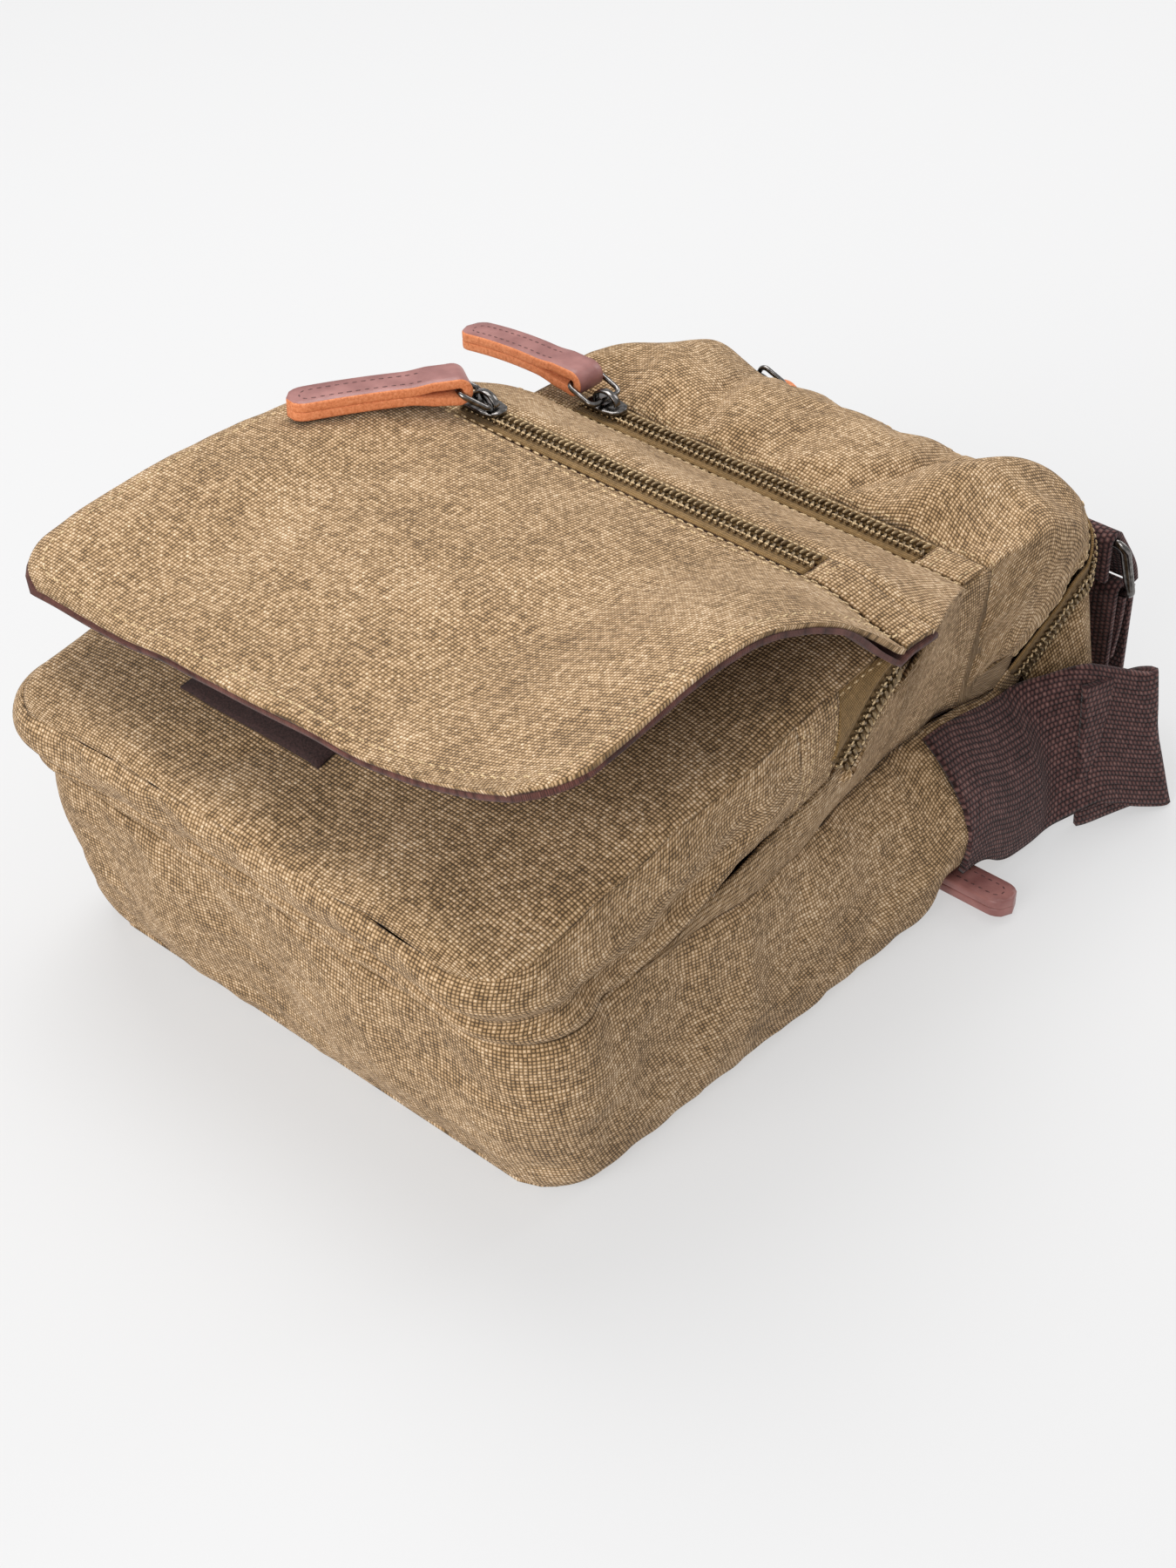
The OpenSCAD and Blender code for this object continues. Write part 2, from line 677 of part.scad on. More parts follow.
// The webbing that holds the ring's lower bar, folded over it and sewn, standing behind the corner
module strap_ring_loop() {
    r = ring_wire + 0.3 + web_t / 2;
    c = ring_low;
    line = concat([[c.x + 1.4 - r, 2], [c.x - r, c.y - 29]],
        [for (a = [180:-20:0]) c + r * [cos(a), sin(a)]], [[c.x + r - 0.6, c.y - 13], [c.x - 0.6, c.y - 23]]);
    centred() color(web_color) translate([29, 0, 0]) rotate([90, 0, 90]) linear_extrude(web_w) band(line);
}

// The end of the long strap, folded over the ring's upper bar
module strap_end() {
    r = ring_wire + 0.3 + web_t / 2;
    c = ring_high;
    line = concat([[c.x - r, c.y - 12], [c.x - r, c.y - 6]], [for (a = [180:-20:20]) c + r * [cos(a), sin(a)]],
        [[262.6, 64], [266, 58.5], [267.4, 53.5]]);
    centred() color(web_color) translate([29, 0, 0]) rotate([90, 0, 90]) linear_extrude(web_w) band(line);
}

function stack_turn(right, y) = let (r = layer_gap / 2, x = right ? stack_right : stack_left)
    [for (a = [-60:30:60]) [x + (right ? r : -r) * cos(a), y + r * sin(a)]];

// The long strap stands on edge: sewn to the left gusset, round the corner, folded to and fro, then to the ring
module strap_long() {
    last = layers - 1;
    corner_run = [[-94.3, 206], [-95, 222], [-94, 240], [-91, 254], [-86, 268],
        [-83, stack_y + last * layer_gap - 3], [stack_left + 1, stack_y + last * layer_gap]];
    folds = [for (k = [last:-1:1]) each
        let (turn = stack_turn((last - k) % 2 == 0, stack_y + (k - 0.5) * layer_gap))
        [for (i = [len(turn) - 1:-1:0]) turn[i]]];
    line = concat(corner_run, folds, [[stack_left + 3, stack_y], [76, stack_y]]);
    sewn = [for (y = steps(206, 175, 4)) [for (f = steps(0, 1, 5))
        let (p = main_gusset_pt([-half_w, y, -1, 0], mix(0.06, 0.98, f))) p - [strap_out, 0, 0]]];
    centred() color(web_color) {
        translate([0, 0, strap_z]) linear_extrude(web_w) band(line);
        shell(sewn, -web_t / 2, web_t / 2);
    }
}

module strap_ring() {
    d = ring_high - ring_low;
    lean = atan2(d.x, d.y);
    high = norm(d);
    bend = 3;
    wide = web_w + 6;
    centred() color(metal_color)
        translate([29 + web_w / 2, ring_low.x, ring_low.y]) rotate([-lean, 0, 0]) {
            for (z = [0, high])
                translate([0, 0, z]) rotate([0, 90, 0])
                    cylinder(h = wide - 2 * bend, r = ring_wire, center = true);
            for (s = [-1, 1])
                translate([s * wide / 2, 0, bend]) cylinder(h = high - 2 * bend, r = ring_wire);
            for (a = [0:3])
                translate([(a == 0 || a == 3 ? 1 : -1) * (wide / 2 - bend), 0, a < 2 ? high - bend : bend])
                    rotate([90, 0, 0]) rotate([0, 0, a * 90])
                        rotate_extrude(angle = 90) translate([bend, 0]) circle(ring_wire);
        }
}

// The adjuster rides on the outermost layer: two bars outside it, one bar inside, joined round its edges
module strap_adjuster() {
    y = stack_y + (layers - 1) * layer_gap;
    low = 0.4;
    high = strap_z + web_w + 2.6;
    centred() color(metal_color) translate([-20, y, 0]) {
        for (x = [-13, 13])
            translate([x, web_t / 2 + 0.5 + 1.3, low]) cylinder(h = high - low, r = 1.3);
        translate([0, -web_t / 2 - 0.3 - 0.5, low]) cylinder(h = high - low, r = 0.5);
        for (z = [low, high - 2.2])
            translate([-13, -web_t / 2 - 1.3, z]) cube([26, web_t + 4.5, 2.2]);
    }
}

back_panel_lower();
back_panel_upper();
back_pocket_wall();
back_zip_tape();
back_zip_chain();
back_zip_tabs();
main_gusset();
top_gusset();
main_zip_tape();
main_zip_chain();
main_zip_tabs();
yoke_panel();
main_front_panel();
middle_gusset_right();
middle_gusset_left();
middle_front_panel();
middle_zip_tape();
middle_zip_chain();
middle_zip_tabs();
hinge_strip();
pocket_face();
pocket_gusset();
pocket_top_gusset();
pocket_zip_rim();
pocket_zip_tape();
pocket_zip_chain();
pocket_zip_tabs();
loop_patch();
strap_right();
strap_ring_loop();
strap_long();
strap_end();
strap_ring();
strap_adjuster();
flap_canvas();
flap_top_strip();
flap_lining();
flap_zip_tape();
flap_zip_chain();
flap_zip_tabs();
hook_patch();
flap_slider();
flap_pull_ring();
flap_leather_pull();
middle_slider();
middle_pull_ring();
middle_leather_pull();
pocket_slider();
pocket_pull_ring();
pocket_leather_pull();
main_slider();
main_pull_ring();
main_leather_pull();
back_slider();
back_pull_ring();
back_leather_pull();
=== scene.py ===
import math

import bmesh
import bpy
import numpy as np
from mathutils import Matrix, Vector


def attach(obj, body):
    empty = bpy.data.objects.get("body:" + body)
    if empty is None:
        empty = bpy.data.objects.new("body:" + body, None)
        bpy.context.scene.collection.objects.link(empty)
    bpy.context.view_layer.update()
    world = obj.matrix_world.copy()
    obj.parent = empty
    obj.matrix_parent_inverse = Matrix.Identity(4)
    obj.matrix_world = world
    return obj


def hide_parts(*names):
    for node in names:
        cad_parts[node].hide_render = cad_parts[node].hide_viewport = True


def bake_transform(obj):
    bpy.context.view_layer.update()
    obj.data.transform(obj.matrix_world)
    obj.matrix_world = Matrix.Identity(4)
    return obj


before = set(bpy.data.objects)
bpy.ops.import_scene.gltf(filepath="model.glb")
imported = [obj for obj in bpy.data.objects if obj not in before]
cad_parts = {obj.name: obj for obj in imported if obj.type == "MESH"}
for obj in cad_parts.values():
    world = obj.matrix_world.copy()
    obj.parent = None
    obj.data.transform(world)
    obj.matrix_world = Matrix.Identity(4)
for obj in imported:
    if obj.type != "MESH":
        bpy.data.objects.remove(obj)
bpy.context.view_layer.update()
mm = 0.001
bagMiddle = 120.0  # the origin's height above the bottom edge, in mm
print("frame loaded:", len(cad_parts), "nodes")

# Sizes are in mm. Heights along Y are counted from the bottom edge of the back, as on a cutting pattern.
body = {"halfWidth": 89.0, "height": 240.0, "corner": 16.0, "topCorner": 14.0, "canvas": 1.5, "lean": 14.7,
        "depthBottom": 60.0, "depthSide": 50.0, "gussetTop": 206.0, "bagCentre": (0, 115, 45)}
pocket = {"low": -22.5, "top": 130.0, "faceLow": 85.0, "faceHigh": 109.5, "puff": 2.5, "zipZ": 99.0,
          "tabLow": 87.0, "tabTop": 103.4, "faceDrop": 22.5, "zipTurn": 9.0}
flap = {"half": 96.0, "ridgeY": 135.5, "ridgeZ": 118.0, "freeY": -10.0, "corner": 16.0, "stitchInset": 4.5,
        "blendReach": 5.0}
zips = {"half": 62.0, "tapeHalf": 5.4, "pitch": 2.1, "toothRise": 1.15, "toothOut": 1.75, "toothLean": 0.38,
        "tooth": (3.3, 1.15, 1.5), "seamOut": 2.55, "seamRise": 1.95, "flapY": 127.5,
        "middleY": 177.0, "middleZ": 98.0, "backY": 169.0, "backZ": 10.5, "mainY": 245.0,
        "mainZ": 79.5, "pocketY": 131.5}
hardware = {"barZ": 4.9, "wire": 0.8, "linkLen": 10.4, "linkW": 12.6, "linkBend": 2.2, "plateZ": 2.2}
leather = {"len": 47.0, "w": 10.5, "t": 2.7, "foldR": 1.35}
strap = {"w": 48.0, "t": 1.8, "lift": 3.0, "stackY": 268.0, "left": -76.0, "right": 22.0, "layers": 7,
         "gap": 3.2, "out": 1.6, "ringLow": (259.5, 53.0), "ringHigh": (252.5, 73.0), "ringWire": 1.6,
         "ringX": (29.0, 77.0)}
settling = {"frames": 16, "quality": 6, "mass": 0.3, "stiffness": 25, "shear": 10, "bending": 1.2}
stage = {"azimuth": 42.13, "elevation": 36.88, "distance": 745.1, "target": (11.77, 96.23, 40.0), "lens": 62.0,
         "sensor": 36, "floorHalf": 6.0, "floorColour": "#8F8F8F", "floorGlow": 0.5,
         "sky": "#F4F4F6", "skyGlow": 0.64}
softboxes = [("key", (-0.45, 0.2, 1.3), 0.9, 13.5), ("fill", (0.2, -1.4, 0.7), 1.0, 19.0),
             ("rim", (0.2, 1.2, 0.7), 0.6, 4.0)]  # name, place in metres, side in metres, watts
pulls = {  # slider position, ring turn, ring rise, pull slope, and how far the pull arches and droops
    "flap": {"x": -55, "turn": 238, "rise": 35, "slope": 0, "arch": 0.8, "droop": 0.0},
    "middle": {"x": -54, "turn": 180, "rise": 20, "slope": -2, "arch": 1.5, "droop": 1.0},
    "pocket": {"x": -40, "turn": 0, "rise": 10, "slope": 0, "arch": 0.5, "droop": 0.0},
    "main": {"x": -56, "turn": 22, "rise": 3, "slope": 0, "arch": 0.5, "droop": 0.0},
    "back": {"x": 49.5, "turn": 0, "rise": 6, "slope": 0, "arch": 0.0, "droop": 0.0}}


def ramp(a, b, t):
    s = np.clip((np.asarray(t, float) - a) / (b - a), 0, 1)
    return s * s * (3 - 2 * s)


def mix(a, b, t):
    return a + (b - a) * t


def arch(f):
    return 4 * f * (1 - f)


def ripple(u, v, wave, seed, count=8):
    rng = np.random.default_rng(seed)
    total = 0.0
    for _ in range(count):
        angle, phase = rng.uniform(0, math.tau, 2)
        length = wave * rng.uniform(0.7, 1.6)
        total = total + np.sin((u * math.cos(angle) + v * math.sin(angle)) * math.tau / length + phase)
    return total / math.sqrt(count)


def rounded(half, r, y):
    y = np.asarray(y, float)
    inside = np.sqrt(np.maximum(0.04, r * r - np.clip(r - y, 0, r) ** 2))
    return np.where(y >= r, half, half - r + inside)


def unit(v):
    return v / np.maximum(np.linalg.norm(v, axis=-1, keepdims=True), 1e-9)


def surface(x, y, z):
    return np.stack(np.broadcast_arrays(x, y, z), axis=-1)


def arcPoints(cx, cy, radius, start, end, count):
    angles = np.radians(np.linspace(start, end, count))
    return [(cx + radius * math.cos(a), cy + radius * math.sin(a)) for a in angles]


def toFrame(points):
    out = np.asarray(points, float).reshape(-1, 3).copy()
    out[:, 1] -= bagMiddle
    return out * mm


def gridNormals(grid):
    along = np.gradient(grid, axis=0)
    acrossDir = np.gradient(grid, axis=1)
    return unit(np.cross(along, acrossDir))


def arcLengths(grid):
    v = np.zeros(grid.shape[:2])
    u = np.zeros(grid.shape[:2])
    v[1:] = np.cumsum(np.linalg.norm(np.diff(grid, axis=0), axis=2), axis=0)
    u[:, 1:] = np.cumsum(np.linalg.norm(np.diff(grid, axis=1), axis=2), axis=1)
    u -= u.mean(axis=1, keepdims=True)
    v -= v.mean(axis=0, keepdims=True)
    return u, v


def facingOut(grid, centre):
    # Flips a grid so that its normals point away from centre.
    if (gridNormals(grid) * (grid - np.array(centre, float))).sum() < 0:
        return grid[:, ::-1]
    return grid


def seamDip(grid, depth, width, sides="abcd"):
    # Rolls the edges of a panel in, as where it is sewn to its neighbour.
    u, v = arcLengths(grid)
    near = []
    if "a" in sides:
        near.append(v - v[:1])
    if "b" in sides:
        near.append(v[-1:] - v)
    if "c" in sides:
        near.append(u - u[:, :1])
    if "d" in sides:
        near.append(u[:, -1:] - u)
    fall = np.exp(-(np.minimum.reduce(near) / width) ** 2)
    return grid - gridNormals(grid) * (depth * fall)[..., None]


def rowNear(grid, towards, inset, trim=0.0):
    # A line on a panel at a fixed distance in from the side nearest to a point, with the normals there.
    normals = gridNormals(grid)
    both = np.concatenate([grid, normals], axis=2)
    turned = [both, both[::-1], both.transpose(1, 0, 2), both.transpose(1, 0, 2)[::-1]]
    middles = [np.linalg.norm(g[0, :, :3].mean(axis=0) - np.array(towards, float)) for g in turned]
    both = turned[int(np.argmin(middles))]
    steps = np.linalg.norm(np.diff(both[..., :3], axis=0), axis=2)
    s = np.concatenate([np.zeros((1, both.shape[1])), np.cumsum(steps, axis=0)])
    cut = int(trim * both.shape[1])
    keep = range(cut, both.shape[1] - cut)
    line = np.array([[np.interp(inset, s[:, j], both[:, j, k]) for k in range(6)] for j in keep])
    return line[:, :3], unit(line[:, 3:])


def gridArea(grid):
    a, b = np.diff(grid, axis=0)[:, :-1], np.diff(grid, axis=1)[:-1]
    return float(np.linalg.norm(np.cross(a, b), axis=2).sum())


def declareCloth(grid):
    u, v = arcLengths(grid)
    width, length = max(10.1, np.ptp(u, axis=1).max()), max(10.1, np.ptp(v, axis=0).max())
    area = gridArea(grid)
    if area < 0.4 * width * length:  # a tapered strip: its mean width counts
        width, length = max(10.1, 1.5 * area / max(width, length)), max(width, length)


def link(obj):
    bpy.context.scene.collection.objects.link(obj)
    return obj


def gridMesh(name, grid, look):
    rows, cols = grid.shape[:2]
    mesh = bpy.data.meshes.new(name)
    faces = [(i * cols + j, (i + 1) * cols + j, (i + 1) * cols + j + 1, i * cols + j + 1)
             for i in range(rows - 1) for j in range(cols - 1)]
    mesh.from_pydata(toFrame(grid).tolist(), [], faces)
    u, v = arcLengths(grid)
    flat = np.stack([u, v], axis=2).reshape(-1, 2) * mm
    layer = mesh.uv_layers.new(name="cut")
    loops = np.zeros(len(mesh.loops), int)
    mesh.loops.foreach_get("vertex_index", loops)
    layer.data.foreach_set("uv", flat[loops].ravel())
    mesh.materials.append(look)
    mesh.polygons.foreach_set("use_smooth", [True] * len(mesh.polygons))
    return link(bpy.data.objects.new(name, mesh))


def applied(obj):
    # Turns the evaluated object into a plain mesh and drops its modifiers.
    bpy.context.view_layer.update()
    depsgraph = bpy.context.evaluated_depsgraph_get()
    mesh = bpy.data.meshes.new_from_object(obj.evaluated_get(depsgraph), depsgraph=depsgraph)
    obj.modifiers.clear()
    old = obj.data
    obj.data = mesh
    if isinstance(old, bpy.types.Mesh):
        bpy.data.meshes.remove(old)
    obj.data.name = obj.name
    return obj


def thicken(obj, thick, offset=-1.0, subdivide=0):
    if subdivide:
        sub = obj.modifiers.new("smooth", "SUBSURF")
        sub.levels = sub.render_levels = subdivide
        sub.boundary_smooth = "PRESERVE_CORNERS"
    solid = obj.modifiers.new("thick", "SOLIDIFY")
    solid.thickness = thick * mm
    solid.offset = offset
    solid.use_even_offset = True
    solid.use_rim = True
    return applied(obj)


def settle(obj, pinned, pressure, grow, cap):
    # Cloth held at its seams: it grows a little and swells, so that it puckers as stuffed canvas does.
    mesh = obj.data
    before = np.zeros(len(mesh.vertices) * 3)
    mesh.vertices.foreach_get("co", before)
    group = obj.vertex_groups.new(name="seam")
    group.add([int(i) for i in np.flatnonzero(pinned)], 1.0, "REPLACE")
    cloth = obj.modifiers.new("settle", "CLOTH")
    settings = cloth.settings
    settings.vertex_group_mass = "seam"
    settings.quality = settling["quality"]
    settings.mass = settling["mass"]
    settings.tension_stiffness = settings.compression_stiffness = settling["stiffness"]
    settings.shear_stiffness = settling["shear"]
    settings.bending_stiffness = settling["bending"]
    settings.shrink_min = -grow
    settings.use_pressure = pressure > 0
    settings.uniform_pressure_force = pressure
    settings.effector_weights.gravity = 0
    cloth.point_cache.frame_start = 1
    cloth.point_cache.frame_end = settling["frames"]
    scene = bpy.context.scene
    for step in range(1, settling["frames"] + 1):
        scene.frame_set(step)
    applied(obj)
    scene.frame_set(1)
    after = np.zeros(len(obj.data.vertices) * 3)
    obj.data.vertices.foreach_get("co", after)
    move = (after - before).reshape(-1, 3)
    size = np.linalg.norm(move, axis=1, keepdims=True)
    move *= np.minimum(1, cap * mm / np.maximum(size, 1e-9))
    obj.data.vertices.foreach_set("co", (before.reshape(-1, 3) + move).ravel())
    obj.vertex_groups.clear()
    print("settled", obj.name, "moved up to", round(float(size.max()) / mm, 1), "mm")
    return obj


def borders(rows, cols):
    mask = np.zeros((rows, cols), bool)
    mask[0], mask[-1], mask[:, 0], mask[:, -1] = True, True, True, True
    return mask.ravel()


def resample(points, count):
    # Evenly spaced points on a smooth line through the given ones.
    p = np.asarray(points, float)
    for _ in range(3):  # Chaikin's corner cutting, ends kept
        cut = np.empty((2 * (len(p) - 1), p.shape[1]))
        cut[0::2] = 0.75 * p[:-1] + 0.25 * p[1:]
        cut[1::2] = 0.25 * p[:-1] + 0.75 * p[1:]
        p = np.vstack([p[:1], cut, p[-1:]])
    s = np.concatenate([[0], np.cumsum(np.linalg.norm(np.diff(p[:, :3], axis=0), axis=1))])
    t = np.linspace(0, s[-1], count)
    return np.stack([np.interp(t, s, p[:, k]) for k in range(p.shape[1])], axis=1)


def shade(hexColour):
    value = hexColour.lstrip("#")
    out = []
    for k in (0, 2, 4):
        c = int(value[k:k + 2], 16) / 255
        out.append(c / 12.92 if c <= 0.04045 else ((c + 0.055) / 1.055) ** 2.4)
    return (*out, 1.0)


def addNode(tree, kind, settings=None, links=None):
    node = tree.nodes.new(kind)
    for key, value in (settings or {}).items():
        setattr(node, key, value)
    for key, value in (links or {}).items():
        socket = node.inputs[key]
        if isinstance(value, bpy.types.NodeSocket):
            tree.links.new(value, socket)
        else:
            socket.default_value = value
    return node


def newMaterial(name):
    material = bpy.data.materials.new(name)
    material.use_nodes = True
    tree = material.node_tree
    return material, tree, tree.nodes["Principled BSDF"]


def rampColours(tree, factor, stops):
    node = addNode(tree, "ShaderNodeValToRGB", links={"Fac": factor})
    elements = node.color_ramp.elements
    while len(elements) < len(stops):
        elements.new(0.5)
    for element, (place, colour) in zip(elements, stops):
        element.position = place
        element.color = shade(colour)
    return node.outputs["Color"]


def maths(tree, operation, a, b=0.0):
    return addNode(tree, "ShaderNodeMath", {"operation": operation}, {0: a, 1: b}).outputs[0]


def addBump(tree, shader, height, depth, strength):
    links = {"Height": height, "Distance": depth * mm, "Strength": strength}
    bump = addNode(tree, "ShaderNodeBump", links=links)
    tree.links.new(bump.outputs[0], shader.inputs["Normal"])


def setShader(shader, values):
    for key, value in values.items():
        shader.inputs[key].default_value = value


def wovenCloth(name, spec):
    # Plain weave from the cut's own UV in metres: each crossing of threads is a bump with its own tone, and the bump's
    # height is painted into the colour as well, a painted highlight on each crossing and painted shade in the gaps
    # between threads.
    material, tree, shader = newMaterial(name)
    pitchU, pitchV = spec["pitch"][0] * mm, spec["pitch"][1] * mm
    uv = addNode(tree, "ShaderNodeUVMap", {"uv_map": "cut"}).outputs[0]

    def vectors(operation, links):
        return addNode(tree, "ShaderNodeVectorMath", {"operation": operation}, links).outputs[0]

    def noise(size, detail=2.0, stretch=(1.0, 1.0, 1.0)):
        links = {"Vector": vectors("MULTIPLY", {0: uv, 1: stretch}), "Scale": 1 / (size * mm), "Detail": detail,
                 "Roughness": 0.62}
        return addNode(tree, "ShaderNodeTexNoise", links=links).outputs

    wobble = (spec["wobble"] * pitchU * 2,) * 3
    shift = vectors("MULTIPLY_ADD", {0: noise(5.0)["Color"], 1: wobble, 2: uv})
    axes = addNode(tree, "ShaderNodeSeparateXYZ", links={0: shift}).outputs
    countU = maths(tree, "DIVIDE", axes[0], pitchU)
    offset = maths(tree, "MULTIPLY", maths(tree, "FLOOR", countU), spec["offset"])
    countV = maths(tree, "ADD", maths(tree, "DIVIDE", axes[1], pitchV), offset)
    waves = [maths(tree, "SINE", maths(tree, "MULTIPLY", count, math.pi)) for count in (countU, countV)]
    height = maths(tree, "POWER", maths(tree, "ABSOLUTE", maths(tree, "MULTIPLY", *waves)), 0.7)
    cells = addNode(tree, "ShaderNodeCombineXYZ", links={0: countU, 1: countV}).outputs[0]
    dots = addNode(tree, "ShaderNodeTexWhiteNoise", {"noise_dimensions": "2D"},
                   {"Vector": vectors("FLOOR", {0: cells})}).outputs["Value"]
    threads = [noise(1.4, 1.0, stretch)["Fac"] for stretch in ((1.0, 0.08, 1.0), (0.08, 1.0, 1.0))]
    streaks = maths(tree, "ADD", *threads)
    layers = ((streaks, 1.0, spec["streak"]), (noise(spec["mottle"], 5.0)["Fac"], 0.5, spec["blotch"]),
              (noise(spec["fleck"])["Fac"], 0.5, spec["flecks"]), (dots, 0.5, spec["dots"]))
    # painted highlight and shade: the colour is lighter where the thread relief is high and darker in the gaps between
    # threads
    tone = maths(tree, "MULTIPLY", height, spec["weave"])
    for layer, middle, weight in layers:
        change = maths(tree, "MULTIPLY", maths(tree, "SUBTRACT", layer, middle), weight)
        tone = maths(tree, "ADD", tone, change)
    tree.links.new(rampColours(tree, tone, spec["stops"]), shader.inputs["Base Color"])
    rough = maths(tree, "ADD", height, maths(tree, "MULTIPLY", streaks, 0.35))
    addBump(tree, shader, rough, spec["depth"], 1.0)
    setShader(shader, {"Roughness": 0.92, "Specular IOR Level": 0.2, "Sheen Weight": spec["sheen"],
                       "Sheen Roughness": 0.5})
    return material


def grainMaterial(name, spec):
    # Solid noise gives the colour, and where the spec asks for it also the wear in the gloss and the bump.
    material, tree, shader = newMaterial(name)
    where = addNode(tree, "ShaderNodeTexCoord").outputs["Object"]
    links = {"Vector": where, "Scale": spec["scale"], "Detail": spec["detail"],
             "Roughness": spec.get("fine", 0.5)}
    noise = addNode(tree, "ShaderNodeTexNoise", links=links).outputs["Fac"]
    tree.links.new(rampColours(tree, noise, spec["stops"]), shader.inputs["Base Color"])
    setShader(shader, spec["shader"])
    if "wear" in spec:
        low, high = spec["wear"]
        gloss = addNode(tree, "ShaderNodeMapRange", links={"Value": noise, "To Min": low, "To Max": high})
        tree.links.new(gloss.outputs[0], shader.inputs["Roughness"])
    if "pebbles" in spec:
        noise = addNode(tree, "ShaderNodeTexVoronoi", links={"Vector": where, "Scale": spec["pebbles"]})
        noise = noise.outputs["Distance"]
    if "bump" in spec:
        addBump(tree, shader, noise, *spec["bump"])
    return material


grains = {  # noise scale per metre, colour stops, bump depth in mm and strength
    "patch": {"scale": 1500.0, "detail": 4.0, "fine": 0.75, "stops": [(0.3, "#1F1312"), (0.7, "#4B3330")],
              "bump": (0.5, 1.0), "shader": {"Roughness": 0.95}},
    "metal": {"scale": 700.0, "detail": 4.0, "stops": [(0.3, "#4A4846"), (0.75, "#8F8B88")],
              "wear": (0.096, 0.24), "shader": {"Metallic": 1.0}},
    "leatherFace": {"scale": 120.0, "detail": 4.0, "pebbles": 1600.0,
                    "stops": [(0.3, "#7A4C48"), (0.7, "#A06E68")], "bump": (0.06, 0.5), "shader": {"Roughness": 0.42}},
    "leatherEdge": {"scale": 1400.0, "detail": 5.0, "fine": 0.7, "bump": (0.2, 0.7),
                    "shader": {"Roughness": 0.8}, "stops": [(0.25, "#A4552C"), (0.5, "#D27F50"), (0.8, "#E8A074")]},
    "coil": {"scale": 500.0, "detail": 2.0, "stops": [(0.3, "#5C4A34"), (0.7, "#A08A68")],
             "shader": {"Metallic": 0.75, "Roughness": 0.28}},
    "thread": {"scale": 2500.0, "detail": 1.0, "stops": [(0.35, "#8A6E48"), (0.65, "#E0C69B")],
               "shader": {"Roughness": 0.7}},
    "darkThread": {"scale": 2500.0, "detail": 1.0, "stops": [(0.35, "#3C2120"), (0.65, "#6A4441")],
                   "shader": {"Roughness": 0.7}},
}
# Each cloth's relief weight sets how strongly its colour shows a painted highlight on the thread crossings and painted
# shade in the gaps.
cloths = {
    "canvas": {"pitch": (1.07, 1.07), "offset": 0.0, "wobble": 0.16, "weave": 0.62, "streak": 0.25,
               "mottle": 34.0, "blotch": 0.55, "fleck": 2.4, "flecks": 0.28, "dots": 0.34,
               "depth": 0.3, "sheen": 0.08,
               "stops": [(0.0, "#54402A"), (0.25, "#93754F"), (0.55, "#C1A07A"), (0.9, "#EBD6B8")]},
    "lining": {"pitch": (0.5, 0.5), "offset": 0.0, "wobble": 0.2, "weave": 0.4, "streak": 0.3, "mottle": 20.0,
               "blotch": 0.5, "fleck": 2.0, "flecks": 0.3, "dots": 0.1, "depth": 0.06, "sheen": 0.1,
               "stops": [(0.0, "#3A231E"), (0.5, "#6E463E"), (1.0, "#8C665C")]},
    "tape": {"pitch": (0.9, 0.55), "offset": 0.0, "wobble": 0.15, "weave": 0.6, "streak": 0.3, "mottle": 12.0,
             "blotch": 0.3, "fleck": 1.5, "flecks": 0.3, "dots": 0.15, "depth": 0.12, "sheen": 0.1,
             "stops": [(0.0, "#574328"), (0.4, "#86693F"), (1.0, "#B3926A")]},
    "webbing": {"pitch": (1.7, 1.35), "offset": 0.5, "wobble": 0.12, "weave": 0.75, "streak": 0.25,
                "mottle": 14.0, "blotch": 0.35, "fleck": 1.8, "flecks": 0.35, "dots": 0.25,
                "depth": 0.5, "sheen": 0.1,
                "stops": [(0.0, "#1E100D"), (0.3, "#41292A"), (0.6, "#5F413D"), (1.0, "#86645E")]},
}
lookNames = {"patch": "loopPile", "metal": "blackNickel", "leatherFace": "dressedLeather",
             "leatherEdge": "leatherCutEdge", "coil": "coilNylon", "thread": "tanThread",
             "darkThread": "darkThread"}
looks = {key: grainMaterial(lookNames[key], spec) for key, spec in grains.items()}
for clothName, clothSpec in cloths.items():
    looks[clothName] = wovenCloth(f"{clothName}Weave", clothSpec)
print("materials made")


